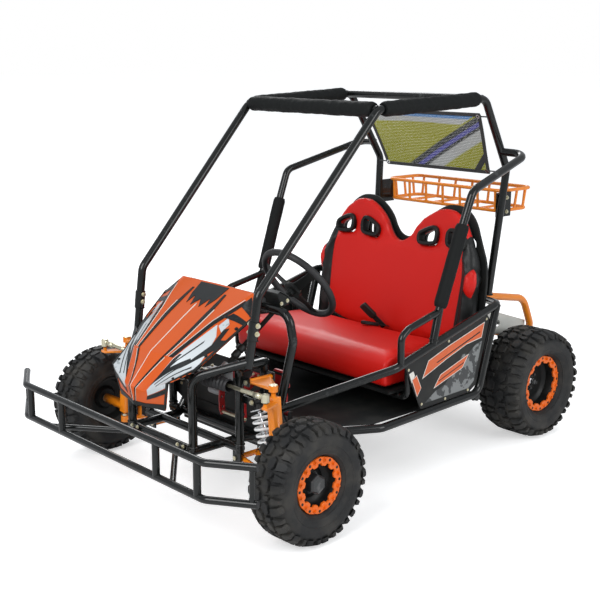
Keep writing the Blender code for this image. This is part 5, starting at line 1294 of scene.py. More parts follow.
form = [plate(rounded_outline(back_outline(0.006, 0.050), 2), 0.036, on_back(0, 0, 0.0235), (1, 0, 0), back_up, 0.0)]
for s in (-1, 1):
    form.append(tubes([side_roll(s)], 0.021, 0.12, BLACK_VINYL, 16))
    ball = bmesh.new()
    bmesh.ops.create_uvsphere(ball, u_segments=24, v_segments=14, radius=1.0)
    for vert in ball.verts:
        vert.co = on_back(s * 0.362 + vert.co.x * 0.024, 0.295 + vert.co.y * 0.056, 0.046 + vert.co.z * 0.026)
    form.append(from_bm(ball))
form_mesh = merged(form)
slot_cutters = []
for x, v, shape in slots:
    for factor, middle in ((1.10, 0.0), (1.24, -0.076)):
        wider = [(px * factor, py * factor) for px, py in rounded_outline(shape, 2)]
        slot_cutters.append(plate(wider, 0.2, on_back(x, v, middle), (1, 0, 0), back_up, 0.0))
print("back form points", len(form_mesh.vertices), "slots", len(slots))

# %% Cut the slots and fill the back
def cut_from(mesh, cutter):
    """Take one closed mesh from another."""
    item = piece("cut piece", mesh)
    tool = piece("cutter", cutter)
    change = item.modifiers.new("Cut", "BOOLEAN")
    change.operation = "DIFFERENCE"
    change.solver = "EXACT"
    change.object = tool
    made = changed(item)
    bpy.data.objects.remove(tool, do_unlink=True)
    return made


pierced = voxel_skin(form_mesh, 0.007)
for slot_cutter in slot_cutters:
    pierced = cut_from(pierced, slot_cutter)
back_skin = plumped(voxel_skin(pierced, 0.007), 4.0, 0.008)
red_panel = rounded_outline([(0.305, 0.06), (0.312, 0.20), (0.318, 0.33), (0.300, 0.40), (0.318, 0.455), (0.300, 0.50),
                             (0.255, 0.60), (-0.255, 0.60), (-0.300, 0.50), (-0.318, 0.455), (-0.300, 0.40),
                             (-0.318, 0.33), (-0.312, 0.20), (-0.305, 0.06)], 2)
head_edge = rounded_outline(back_outline(0.0095, -0.05), 2)


def red_zone(spot):
    """How far a point is inside the red of the back: its face, and an oval on each side bolster."""
    offset = spot - back_foot
    across, up, out = offset.x, offset.dot(back_up), offset.dot(back_out)
    front = min(inside((across, up), red_panel), inside((across, up), head_edge), out - 0.020)
    oval = 1.0 - math.sqrt(((abs(across) - 0.366) / 0.024) ** 2 + ((up - 0.295) / 0.050) ** 2)
    return max(front, min(oval * 0.024, out - 0.046))


def finished_pad(name, skin, material, body, slot_name, replaced, measure):
    """Refine a filled skin once, mark its colours and settle it."""
    item = piece(name, skin, material)
    finer = item.modifiers.new("Finer", "SUBSURF")
    finer.levels = 1
    finer.render_levels = 1
    refined = changed(item, keep=True)
    item.modifiers.clear()
    item.data = refined
    refined.name = name
    zone_values(refined, measure)
    settle(item, body, slot_name, replaced, 80)
    return item


seat_back_pad = finished_pad("seat_back_pad", back_skin, SEAT_VINYL, "chassis", "seat_back", ["seat_back"], red_zone)
print("seat back faces", len(seat_back_pad.data.polygons))

# %% [markdown]
# Each harness slot has a moulded black frame that clamps the vinyl. Its section is a flat flange with a round
# inner lip that runs through the back. The section is carried round the slot's own outline.

# %% Slot frames
def framed(outline, section, origin, across, up):
    """Carry a section of (outwards, forwards) points round a closed outline."""
    across, up = Vector(across).normalized(), Vector(up).normalized()
    front = across.cross(up)
    count = len(outline)
    bm = bmesh.new()
    rings = []
    for i in range(count):
        before, here, after = Vector(outline[i - 1]), Vector(outline[i]), Vector(outline[(i + 1) % count])
        line = (after - before).normalized()
        outward = Vector((line.y, -line.x))
        ring = []
        for grow, depth in section:
            flat = here + outward * grow
            ring.append(bm.verts.new(Vector(origin) + across * flat.x + up * flat.y + front * depth))
        rings.append(ring)
    return from_rings(bm, rings)


flange = [(-0.0035, 0.0240), (-0.0035, 0.0530), (-0.0015, 0.0565), (0.0015, 0.0575), (0.0070, 0.0570),
          (0.0098, 0.0545), (0.0105, 0.0500), (0.0105, 0.0440), (0.0015, 0.0440), (0.0015, 0.0240)]
frames_mesh = []
for x, v, shape in slots:
    outline = rounded_outline(shape, 3)
    turn = sum(ax * by - bx * ay for (ax, ay), (bx, by) in zip(outline, outline[1:] + outline[:1]))
    outline = outline if turn > 0 else outline[::-1]
    frames_mesh.append(framed(outline, flange, on_back(x, v, 0), (1, 0, 0), back_up))
settle(piece("slot_frames", merged(frames_mesh), SATIN_BLACK), "chassis", "seat_back", angle=35)
print("slot frames", len(frames_mesh))

# %% [markdown]
# The bench cushion is one long pad with a rolled front. A black panel covers its outer ends, as on the back.

# %% Bench cushion
profile = [(0.474, 0.316), (0.464, 0.340), (0.463, 0.372), (0.470, 0.396), (0.486, 0.412), (0.520, 0.419),
           (0.640, 0.413), (0.800, 0.402), (0.836, 0.392), (0.832, 0.316)]
bench = plate(profile, 0.752, kart(0, 0, 0), (0, 1, 0), (0, 0, 1), 0.0)
bench_skin = plumped(voxel_skin(bench, 0.009), 5.0, 0.010)


def bench_zone(spot):
    """How far a point is inside the red of the cushion."""
    ends = 0.350 - abs(spot.x)
    black_end = max(ends, (0.715 + AXLE_Y - spot.y) if spot.x < 0 else ends + 0.02)
    return min(black_end, spot.z - 0.322)


finished_pad("seat_cushion_pad", bench_skin, SEAT_VINYL, "chassis", "seat_cushion", ["seat_cushion"], bench_zone)

# %% Seat shell and belt buckles
shell_outline = rounded_outline(back_outline(-0.004, 0.010), 2)
shell = plate(shell_outline, 0.010, on_back(0, 0, -0.0060), (1, 0, 0), back_up, 0.002)
for x, v, shape in slots:
    wider = [(px * 1.30, py * 1.30) for px, py in rounded_outline(shape, 2)]
    shell = cut_from(shell, plate(wider, 0.2, on_back(x, v, 0), (1, 0, 0), back_up, 0.0))
shell_parts = [shell, block(kart(-0.386, 0.476, 0.300), kart(0.386, 0.912, 0.3095), 0.002)]
for y in (0.56, 0.66, 0.76, 0.86):
    shell_parts.append(block(kart(-0.38, y - 0.006, 0.2962), kart(0.38, y + 0.006, 0.3005), 0.001))
settle(piece("seat_shell_moulding", merged(shell_parts), SATIN_BLACK), "chassis", "seat_shell", ["seat_shell"], 30)


def buckle(foot, tip, across):
    """A belt stalk: a strap, then a thicker moulded buckle with a slot in its end."""
    foot, tip, across = Vector(foot), Vector(tip), Vector(across).normalized()
    line = (tip - foot).normalized()
    long = (tip - foot).length
    strap = [(-0.011, 0), (0.011, 0), (0.011, long * 0.62), (-0.011, long * 0.62)]
    head = [(-0.012, long * 0.45), (0.012, long * 0.45), (0.0145, long * 0.55), (0.0145, long * 0.97), (0.0115, long),
            (-0.0115, long), (-0.0145, long * 0.97), (-0.0145, long * 0.55)]
    return merged([plate(strap, 0.0035, foot, across, line, 0.0008), plate(head, 0.014, foot, across, line, 0.0028)])


buckles = [buckle(kart(0.020, 0.842, 0.395), kart(-0.038, 0.785, 0.478), (0.75, 0.1, 0.55)),
           buckle(kart(0.030, 0.846, 0.400), kart(0.012, 0.742, 0.427), (1, 0.15, 0.05))]
settle(piece("belt_buckles", merged(buckles), SATIN_BLACK), "chassis", "seat_cushion", angle=35)
print("seat shell and buckles done")

# %% [markdown]
# Foam sleeves on the cage are soft tubes in a cloth cover. The cover is a little loose, so it crumples where
# it is drawn in at its ends, and a sewn seam runs along it. Each sleeve is a circle carried along its route,
# with a radius that dips at the ends and wrinkles by smooth noise.

# %% Foam sleeves
def even_route(points, bend, spacing):
    """Points at an even spacing along a route with rounded corners."""
    corners = [Vector(p) for p in points]
    path = [corners[0]]
    for before, corner, after in zip(corners, corners[1:], corners[2:]):
        back, ahead = before - corner, after - corner
        reach = min(bend, back.length * 0.45, ahead.length * 0.45)
        start, end = corner + back.normalized() * reach, corner + ahead.normalized() * reach
        for i in range(9):
            t = i / 8
            path.append(start.lerp(corner, t).lerp(corner.lerp(end, t), t))
    path.append(corners[-1])
    lengths = [0.0]
    for a, b in zip(path, path[1:]):
        lengths.append(lengths[-1] + (b - a).length)
    count = max(4, round(lengths[-1] / spacing))
    spots, k = [], 0
    for i in range(count + 1):
        want = lengths[-1] * i / count
        while k < len(path) - 2 and lengths[k + 1] < want:
            k += 1
        span = max(lengths[k + 1] - lengths[k], 1e-9)
        spots.append(path[k].lerp(path[k + 1], (want - lengths[k]) / span))
    return spots


def sleeve(points, radius, inner, bend=0.03, wrinkle=0.05, seam_side=0.0, sides=40):
    """A foam sleeve with crumpled ends and a seam, open for its tube."""
    spots = even_route(points, bend, 0.005)
    total = len(spots) - 1
    normal = (spots[1] - spots[0]).orthogonal().normalized()
    bm = bmesh.new()
    rings = []
    for i, spot in enumerate(spots):
        line = (spots[min(i + 1, total)] - spots[max(i - 1, 0)]).normalized()
        normal = (normal - line * normal.dot(line)).normalized()
        side = line.cross(normal)
        end = min(i, total - i) * 0.005
        drawn = 1.0 - 0.16 * math.exp(-(end / 0.006) ** 2)
        ring = []
        for k in range(sides):
            angle = 2 * math.pi * k / sides
            out = normal * math.cos(angle) + side * math.sin(angle)
            ripple = noise.noise((spot * 34) + out * 1.1) + 0.5 * noise.noise(spot * 90 + out * 2.2)
            apart = abs((angle - seam_side + math.pi) % (2 * math.pi) - math.pi)
            groove = 0.05 * math.exp(-(apart / 0.09) ** 2)
            ring.append(bm.verts.new(spot + out * radius * (drawn + wrinkle * ripple - groove)))
        rings.append(ring)
    ends = []
    for ring, spot in ((rings[0], spots[0]), (rings[-1], spots[-1])):
        ends.append([bm.verts.new(spot + (v.co - spot).normalized() * inner) for v in ring])
    rings = [ends[0]] + rings + [ends[1]]
    return from_rings(bm, rings)


def part_way(start, end, shares, s):
    """Places at shares of the way from start to end, on one side of the kart."""
    places = [Vector(start).lerp(Vector(end), share) for share in shares]
    return [kart(s * p.x, p.y, p.z) for p in places]


SLEEVE_BORE = 0.0142
for tag, s in SIDES:
    pad = piece("pillar_sleeve_" + tag, sleeve(part_way(PILLAR_LOW, PILLAR_TOP, (0.02, 0.98), s), 0.0222,
                                               SLEEVE_BORE, wrinkle=0.030, seam_side=0.6), FOAM_COVER)
    settle(pad, "chassis", "pillar_pad_" + tag, ["pillar_pad_" + tag], 60)
roof_sleeves = [sleeve([kart(x, *SCREEN_TOP[1:]) for x in (-0.292, 0.292)], 0.0245, SLEEVE_BORE, wrinkle=0.07)]
for s in (-1, 1):
    roof_sleeves.append(sleeve(part_way(SCREEN_TOP, ROOF_REAR, (0.045, 0.92), s), 0.0240, SLEEVE_BORE, wrinkle=0.07,
                               seam_side=1.5))
roof = settle(piece("roof_sleeves", merged(roof_sleeves), FOAM_COVER), "chassis", "roof_padding", ["roof_padding"], 60)
print("sleeves done", len(roof.data.polygons), "faces on the roof")

# %% [markdown]
# The rear net is open mesh cloth with a sewn tape round it, tied to both rear pillars. Every cell is cut as a
# real hole, so the light comes through in any view. Its print is plain diagonal bands of colour.

# %% Net cloth
net_low, net_top = kart(0, 1.128, 0.950), kart(0, 1.030, 1.158)
net_up = net_top - net_low
net_height = net_up.length
net_up.normalize()
net_back = Vector((1, 0, 0)).cross(net_up)


def on_net(across, up):
    """A place on the slightly slack net: across from -1 to 1 and up from 0 to 1."""
    half = 0.245 + 0.025 * up
    slack = (1 - across * across) * math.sin(math.pi * up)
    wave = 0.0025 * math.sin(5 * across + 3 * up) * math.sin(math.pi * up)
    return net_low + Vector((across * half, 0, 0)) + net_up * (up * net_height) - net_back * (0.010 * slack + wave)


def net_material():
    """Printed mesh cloth: an olive ground with dark, pale and violet bands across it."""
    material, nodes, shader = new_material("printed mesh", {"Roughness": 0.7, "Sheen Weight": 0.1})
    across = add_node(nodes, "ShaderNodeAttribute", attribute_name="across").outputs["Fac"]
    ramp = add_node(nodes, "ShaderNodeValToRGB", {"Fac": across})
    olive, dark, pale = (0.27, 0.275, 0.003), (0.010, 0.014, 0.013), (0.36, 0.38, 0.37)
    stops = [(0.00, (0.06, 0.20, 0.45)), (0.045, (0.06, 0.20, 0.45)), (0.055, pale), (0.095, pale), (0.105, olive),
             (0.545, olive), (0.555, dark), (0.590, dark), (0.596, (0.06, 0.06, 0.30)), (0.622, (0.06, 0.06, 0.30)),
             (0.628, dark), (0.645, dark), (0.655, pale), (0.725, pale), (0.740, olive), (1.00, olive)]
    elements = ramp.color_ramp.elements
    for k, (place, colour) in enumerate(stops):
        element = elements[k] if k < 2 else elements.new(place)
        element.position = place
        element.color = (*colour, 1.0)
    grain = place_group(material, GRAIN, {"Fine Scale": 1400.0, "Broad Scale": 80.0, "Depth": 0.3})
    faded = place_group(material, SCUFF, {"Amount": 0.3})
    colour = blend_colours(nodes, faded.outputs["Mask"], ramp.outputs["Color"], (0.40, 0.40, 0.16, 1.0))
    nodes.links.new(colour, shader.inputs["Base Color"])
    nodes.links.new(grain.outputs["Normal"], shader.inputs["Normal"])
    return material


columns, rows = 84, 36
bm = bmesh.new()
band = bm.verts.layers.float.new("across")
grid = [[bm.verts.new(on_net(2 * c / columns - 1, r / rows)) for c in range(columns + 1)] for r in range(rows + 1)]
for r in range(rows):
    for c in range(columns):
        bm.faces.new((grid[r][c], grid[r][c + 1], grid[r + 1][c + 1], grid[r + 1][c]))
openings = list(bm.faces)
bm.normal_update()
bmesh.ops.inset_individual(bm, faces=openings, thickness=0.0021, use_even_offset=True)
bmesh.ops.delete(bm, geom=openings, context="FACES_ONLY")
for vert in bm.verts:
    flat = vert.co - net_low
    up = flat.dot(net_up) / net_height
    across = flat.x / (0.245 + 0.025 * up)
    slant = ((across + 0.5) * 0.95 - 1.5 * up + 2) / 3.5
    hem = 0.86 + 0.022 * math.sin(11 * across)
    vert[band] = (1 - up) * 0.5 if up > hem - 0.09 and slant < 0.54 else max(slant, 0.12)
net_area = sum(f.calc_area() for f in bm.faces)
net_mesh = plain_mesh(bm, "net_cloth")
print("net faces", len(net_mesh.polygons), "cloth area", round(net_area, 4))

# %% Net binding and ties
net = piece("net_cloth", net_mesh, net_material())
wall = net.modifiers.new("Wall", "SOLIDIFY")
wall.thickness = 0.0008
solid_net = changed(net, keep=True)
net.modifiers.clear()
net.data = solid_net
settle(net, "chassis", "shade_net", ["shade_net"], 40)
TAPE = finish("black binding tape", (0.016, 0.017, 0.018), 0.7, grain=(1500.0, 200.0, 0.5), sheen=0.2)


def tape(route, width, lift=0.0016):
    """A flat tape folded over the net's edge along a route of (across, up) points."""
    bm = bmesh.new()
    rings = []
    for i, (a, v) in enumerate(route):
        ahead = on_net(*route[min(i + 1, len(route) - 1)]) - on_net(*route[max(i - 1, 0)])
        aside = ahead.normalized().cross(net_back)
        rings.append([bm.verts.new(on_net(a, v) + aside * x * width + net_back * y * lift)
                      for x, y in ((-0.5, -1), (0.5, -1), (0.5, 1), (-0.5, 1))])
    return from_rings(bm, rings, capped=True)


def steps_between(a, b, count=24):
    """Even steps from one place on the net to another."""
    return [(a[0] + (b[0] - a[0]) * i / count, a[1] + (b[1] - a[1]) * i / count) for i in range(count + 1)]


tapes = [tape(steps_between(start, end), 0.013) for start, end in (
    ((-1.0, 0.99), (1.0, 0.99)), ((-1.0, 0.01), (1.0, 0.01)), ((-0.985, 0.0), (-0.985, 1.0)),
    ((0.985, 0.0), (0.985, 1.0)))]
tapes.append(tape(steps_between((0.78, 0.02), (0.985, 0.30), 6), 0.020))
ties, hooks = [], []
for s in (-1, 1):
    for up, pillar_x in ((0.035, 0.285), (0.965, 0.2965)):
        start = on_net(s * 0.97, up)
        ties.append([start, Vector((s * pillar_x, start.y, start.z))])
        hooks.append(turned([(-0.0025, 0.0040), (-0.0025, 0.0068), (0.0025, 0.0068), (0.0025, 0.0040)],
                            on_net(s * 0.965, up), net_back, 20))
binding_mesh = merged_by_finish([painted(merged(tapes), TAPE), tubes(ties, 0.0024, 0.001, TAPE, 8),
                                 painted(merged(hooks), BRIGHT_STEEL)])
binding = settle(piece("net_binding", binding_mesh), "chassis", "shade_net", angle=40)
print("net binding faces", len(binding.data.polygons))

# %% [markdown]
# Some parts already have their true shape in the CAD model and only lack its finish. A copy of such a node is
# welded, its flat triangles are joined into faces, and each sharp edge gets a small round, because an edge
# with no round catches no light and looks like a drawing.

# %% Eased copies of CAD nodes
def eased(node, edge=0.0008, flat=2.0):
    """A welded copy of a CAD node's mesh with its sharp edges rounded."""
    bm = bmesh.new()
    bm.from_mesh(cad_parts[node].data)
    bmesh.ops.remove_doubles(bm, verts=bm.verts, dist=0.00002)
    bmesh.ops.dissolve_limit(bm, angle_limit=math.radians(flat), verts=bm.verts, edges=bm.edges)
    sharp = [e for e in bm.edges if len(e.link_faces) == 2 and e.calc_face_angle(0) > 0.75]
    bmesh.ops.bevel(bm, geom=sharp, offset=edge, segments=2, affect="EDGES", clamp_overlap=True)
    return plain_mesh(bm, node)


def dressed(node, body, material, extra=(), edge=0.0008, angle=40):
    """An eased copy that stands for its node, with more meshes joined to it in their own materials."""
    mesh = painted(eased(node, edge), material)
    mesh = merged_by_finish([mesh, *extra]) if extra else mesh
    return settle(piece(node + "_finished", mesh), body, node, [node], angle)


def around(centre, axis, radius, count):
    """Points on a circle."""
    axis = Vector(axis).normalized()
    first = axis.orthogonal().normalized()
    second = axis.cross(first)
    for a in (2 * math.pi * k / count for k in range(count)):
        yield Vector(centre) + (first * math.cos(a) + second * math.sin(a)) * radius


print("eased copies ready")

# %% [markdown]
# A coil-over has a bright body, a chromed rod and a white spring between two cups. The spring is a spiral
# curve with a round section, so a small tree makes it: a spiral swept by a circle, whose turns then close up a
# little towards both ends. The spring crosses the arm's joint.

# %% Spring tree
def spring_tree():
    """A tree that winds a spring along Z from its sizes."""
    tree, start = new_tree("coil spring", {"Turns": 6.0, "Radius": 0.02, "Length": 0.1, "Wire": 0.003, "Sides": 12})
    spiral = add_node(tree, "GeometryNodeCurveSpiral", {
        "Resolution": 40, "Rotations": start["Turns"], "Start Radius": start["Radius"],
        "End Radius": start["Radius"], "Height": start["Length"]})
    wire = swept(tree, spiral.outputs["Curve"], start["Wire"], start["Sides"], {"Fill Caps": True})
    return close_tree(tree, start, wire)


SPRINGS = spring_tree()


def coil(low, top, start, stop, radius, wire, turns, material):
    """A spring on the line from low to top, from start to stop metres along it."""
    low, top = Vector(low), Vector(top)
    line = (top - low).normalized()
    seed = bpy.data.meshes.new("spring seed")
    seed.from_pydata([(0, 0, 0)], [], [])
    long = stop - start - 2 * wire
    sizes = {"Turns": turns, "Radius": radius, "Length": long, "Wire": wire}
    mesh = run_tree("spring", seed, SPRINGS, sizes, material)
    for vert in mesh.vertices:
        share = vert.co.z / long
        closed = share + 0.055 * math.sin(2 * math.pi * share)
        vert.co.z += (share - closed) * long * 0.5
    mesh.transform(Vector((0, 0, 1)).rotation_difference(line).to_matrix().to_4x4())
    mesh.transform(Matrix.Translation(low + line * (start + wire)))
    return mesh


print("tree", SPRINGS.name)

# %% Coil-overs
def eye_parts(centre, axis):
    """A damper's eye and the bush in it."""
    ring = turned([(-0.0113, 0.0045), (-0.0113, 0.0085), (-0.0105, 0.0092), (0.0105, 0.0092), (0.0113, 0.0085),
                   (0.0113, 0.0045)], centre, axis, 32)
    bush = [(-0.0114, 0.0030), (-0.0114, 0.0046), (0.0114, 0.0046), (0.0114, 0.0030)]
    return painted(ring, SATIN_BLACK), painted(turned(bush, centre, axis, 24), ZINC)


def damper_body(low, top, scale, eye):
    """Tube, threaded collar and lower eye of a damper."""
    line = (top - low).normalized()
    long = (top - low).length
    r = 0.011 * scale
    tube_end = long * 0.60
    profile = [(0.007, 1e-5), (0.007, r * 0.8), (0.012, r), (0.030, r), (0.030, r * 1.06)]
    step = 0.0026
    z = 0.030
    while z < tube_end - 0.012:
        profile += [(z + step * 0.35, r * 1.06), (z + step * 0.55, r * 0.94), (z + step * 0.95, r * 1.06)]
        z += step
    profile += [(z, r * 1.06), (z, r), (tube_end - 0.002, r), (tube_end, r * 0.86), (tube_end, 1e-5)]
    return [painted(turned(profile, low, line, 36), BRIGHT_STEEL), *eye_parts(low, eye)]


def cup(low, line, at, radius, way):
    """A dished spring seat round the line, facing up or down it."""
    profile = [(at, 0.0112), (at, radius - 0.002), (at - way * 0.001, radius), (at + way * 0.0024, radius),
               (at + way * 0.0024, radius - 0.0018), (at + way * 0.0022, radius - 0.0022), (at + way * 0.0022, 0.0112)]
    return turned(profile, low, line, 40)


def coil_over(name, low, top, body, rod_body, scale, eye, spring_sizes, nodes):
    """The damper body, its rod and its spring as three pieces."""
    low, top = Vector(low), Vector(top)
    line = (top - low).normalized()
    long = (top - low).length
    radius, wire, turns = spring_sizes
    body_parts = damper_body(low, top, scale, eye)
    body_parts.append(painted(cup(low, line, 0.0245, radius + 0.0026, 1), BRIGHT_STEEL))
    settle(piece(name + "_body", merged_by_finish(body_parts)), body, nodes[0], [nodes[0]], 30)
    rod_parts = [painted(bar(low + line * long * 0.42, low + line * (long - 0.006), 0.0046, 24, 0.0004), CHROME),
                 painted(cup(low, line, long - 0.0245, radius + 0.0026, -1), BRIGHT_STEEL),
                 painted(turned([(long - 0.030, 0.0047), (long - 0.030, 0.0112), (long - 0.022, 0.0115),
                                 (long - 0.008, 0.0085), (long - 0.008, 0.0047)], low, line, 28), SATIN_BLACK),
                 *eye_parts(top, eye)]
    settle(piece(name + "_rod", merged_by_finish(rod_parts)), rod_body, nodes[1], [nodes[1]], 30)
    start, end = (low + line * along for along in (long - SPRING_SEAT, SPRING_SEAT))
    spring = piece(name + "_spring", coil(low, top, SPRING_SEAT, long - SPRING_SEAT, radius, wire, turns, WHITE_COAT))
    spring.data.shade_smooth()
    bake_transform(spring)
    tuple(start)
    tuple(end)
    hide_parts(nodes[2])


SPRING_SEAT = 0.030  # how far a spring's ends stay from the damper's eyes
FRONT_SHOCK_FOOT, FRONT_SHOCK_TOP = (0.350, 0.012, 0.195), (0.285, 0.012, 0.355)


def on_side(spot, s):
    """A place given for the left, on the side that s says."""
    return kart(s * spot[0], spot[1], spot[2])


for side, s in SIDES:
    body, rod = f"shock_body_front_{side}", f"shock_rod_front_{side}"
    coil_over(f"front_shock_{side}", on_side(FRONT_SHOCK_FOOT, s), on_side(FRONT_SHOCK_TOP, s), body, rod, 1.0,
              (0, 1, 0), (0.0242, 0.0036, 6.0), (body, rod, f"spring_front_{side}"))
coil_over("rear_shock", kart(0.062, 1.100, 0.236), kart(0.062, 1.066, 0.452), "shock_body_rear", "chassis", 1.1,
          (1, 0, 0), (0.0225, 0.0038, 6.5), ("shock_body_rear", "shock_rod_rear", "spring_rear"))
print("three coil-overs")

# %% [markdown]
# The front corner is welded plate and tube with a ball joint below and above. The arms and the knuckle keep
# their CAD shape, eased and painted, and get what a welder and a fitter add: weld beads where legs meet tubes,
# pivot bolts with washers, a cap on the upper ball joint and a ring at the axle's inner end.

# %% Front corner finish
for side, s in SIDES:
    arm, knuckle = f"lower_arm_{side}", f"knuckle_{side}"
    pivots = [(kart(s * x, y + way * 0.0045, z), (0, way, 0)) for x, z in ((0.215, 0.165), (0.270, 0.415))
              for y, way in ((-0.0087, -1), (0.0817, 1))]
    arm_weld = welds([(kart(s * 0.223, y, 0.165), Vector((s, 0, 0))) for y in (0.004, 0.069)], 0.0090, 0.0013)
    dressed(arm, arm, ORANGE_PAINT, [arm_weld])
    cap = turned([(0.0220, 1e-5), (0.0220, 0.0120), (0.0232, 0.0126), (0.0245, 0.0120), (0.0245, 1e-5)],
                 kart(s * 0.375, 0.0, 0.405), (0, 0, 1), 32)
    dressed(f"upper_arm_{side}", f"upper_arm_{side}", ORANGE_PAINT, [painted(cap, ZINC)], 0.0006)
    axle_ring = turned([(0.1177, 0.0128), (0.1177, 0.0166), (0.1192, 0.0166), (0.1192, 0.0128)],
                       kart(s * 0.394, 0, 0.180), (s, 0, 0), 36)
    dressed(knuckle, knuckle, ORANGE_PAINT, [painted(axle_ring, ZINC)], 0.0008)
    dressed(f"ball_stud_{side}", f"ball_stud_{side}", ZINC, (), 0.0003)
    bolt_piece(f"front_pivot_bolts_{side}", pivots, "chassis", "lower_frame", head=0.0075, height=0.0048,
               washer=0.0088)
    for name, (x, y, z), body, slot in (
        (f"shock_foot_bolts_{side}", FRONT_SHOCK_FOOT, arm, arm),
        (f"shock_top_bolts_{side}", FRONT_SHOCK_TOP, "chassis", "lower_frame"),
    ):
        ends = [(kart(s * x, y + way * 0.0180, z), (0, way, 0)) for way in (-1, 1)]
        bolt_piece(name, ends, body, slot, head=0.0062, height=0.0045, washer=0.0078)
print("front corners finished")

# %% [markdown]
# The steering runs from the wheel down a shaft to a rack and pinion. Each end of the rack is closed by a rubber
# bellows, and a tie rod goes from there to the knuckle, with a lock nut and a ball joint. The bellows is a turned
# outline that goes up and down between two radii, hollow so that the tie rod can swing inside it. The shaft ends in
# the pinion's housing behind the rack.

# %% Rack, bellows and tie rods
def bellows(start, stop, wide, narrow, bore, folds, depth):
    """Closed outline of a bellows from start to stop along its axis."""
    outer = []
    for k in range(folds * 6 + 1):
        share = k / (folds * 6)
        crest = wide + (narrow - wide) * share
        wave = 0.5 - 0.5 * math.cos(2 * math.pi * folds * share)
        outer.append((start + (stop - start) * share, crest - depth * (1 - wave) * (1 - 0.5 * share)))
    return [*outer, (stop, bore), (start + 0.002, bore), (start, 0.0182)]


def threads(start, end, low, high, radius, pitch=0.0022, depth=0.0006):
    """Ridged sleeve that stands for a thread on the line from start to end."""
    start, end = Vector(start), Vector(end)
    line = (end - start).normalized()
    profile, along = [(low, 1e-5), (low, radius - depth)], low
    while along < high - pitch:
        profile += [(along + pitch * 0.5, radius), (along + pitch, radius - depth)]
        along += pitch
    return turned([*profile, (profile[-1][0], 1e-5)], start, line, 20)


rack_y, rack_z = -0.060, 0.409
case = turned([(-0.1399, 0.0088), (-0.1399, 0.0176), (-0.139, 0.0180), (-0.118, 0.0180), (-0.116, 0.0166),
               (0.060, 0.0166), (0.062, 0.0180), (0.139, 0.0180), (0.1399, 0.0176), (0.1399, 0.0088)],
              kart(0, rack_y, rack_z), (1, 0, 0), 36)
rack_parts = [painted(case, SATIN_BLACK)]
for s in (1, -1):
    outline = bellows(0.1270, 0.2498, 0.0243, 0.0200, 0.0174, 8, 0.0050)
    rack_parts.append(painted(turned(outline, kart(0, rack_y, rack_z), (s, 0, 0), 40), SOFT_RUBBER))
    rack_parts.append(painted(turned([(0.1275, 0.0183), (0.1275, 0.0206), (0.1345, 0.0206), (0.1345, 0.0183)],
                                     kart(0, rack_y, rack_z), (s, 0, 0), 36), ZINC))
    x = s * 0.09
    clamp = [block(kart(x - 0.012, -0.1162, rack_z - 0.010), kart(x + 0.012, rack_y, rack_z + 0.010), 0.0016),
             block(kart(x - 0.012, -0.1162, rack_z - 0.010), kart(x + 0.012, -0.1122, 0.436), 0.0010)]
    hole = bar(kart(x - 0.05, rack_y, rack_z), kart(x + 0.05, rack_y, rack_z), 0.0092, 32, 0)
    clamp[0] = cut_from(clamp[0], hole)
    rack_parts += [painted(part, SATIN_BLACK) for part in clamp]
pinion = [block(kart(0.095, rack_y + 0.0096, rack_z - 0.016), kart(0.140, -0.002, rack_z + 0.020), 0.002),
          block(kart(0.100, -0.034, rack_z - 0.016), kart(0.196, -0.002, rack_z + 0.022), 0.003)]
rack_parts += [painted(part, CAST) for part in pinion]
column = Vector((0, 0.811, 0.585)).normalized()
wheel_centre = kart(0.180, 0.275, 0.659)
hub = wheel_centre - column * 0.030
foot = hub - column * ((hub.y - kart(0.180, -0.012, 0.0).y) / column.y)
rack_parts.append(painted(turned([(-0.030, 1e-5), (-0.030, 0.012), (-0.029, 0.013), (-0.0014, 0.013), (-0.0004, 0.012),
                                  (-0.0004, 1e-5)], foot, column, 32), CAST))
settle(piece("steering_rack", merged_by_finish(rack_parts)), "chassis", "rack_housing", ["rack_housing"], 35)
bolt_piece("rack_bolts", [(kart(s * x, -0.1162, rack_z), (0, -1, 0)) for s in (1, -1) for x in (0.084, 0.096)],
           "chassis", "rack_housing", head=0.0036, height=0.003, washer=0.005)
bolt_piece("pinion_cover_bolts", [(kart(x, y, rack_z + z), (0, 0, 1)) for x, y, z in
                                  ((0.106, -0.052, 0.020), (0.128, -0.052, 0.020), (0.106, -0.012, 0.022))],
           "chassis", "rack_housing", head=0.0040, height=0.0035, washer=0.0052)
dressed("rack_bar", "rack_bar", BRIGHT_STEEL, (), 0.0003)
for side, s in SIDES:
    inner, outer = kart(s * 0.1493, rack_y, rack_z), kart(s * 0.413, -0.063, 0.411)
    long = (outer - inner).length
    thread = painted(threads(inner, outer, long * 0.60, long * 0.955, 0.0069), ZINC)
    rise = Vector((0, 0, 1))
    dome = painted(turned([(0.0098, 1e-5), (0.0098, 0.0110), (0.0118, 0.0092), (0.0132, 0.0050), (0.0136, 1e-5)],
                          outer, rise, 32), ZINC)
    gaiter = painted(turned([(-0.0148, 0.0064), (-0.0148, 0.0082), (-0.0136, 0.0098), (-0.0122, 0.0104),
                             (-0.0112, 0.0104), (-0.0112, 0.0064)], outer, rise, 28), SOFT_RUBBER)
    dressed(f"tie_rod_{side}", f"tie_rod_{side}", ZINC, [thread, dome, gaiter], 0.0007)
print("rack, bellows and tie rods")

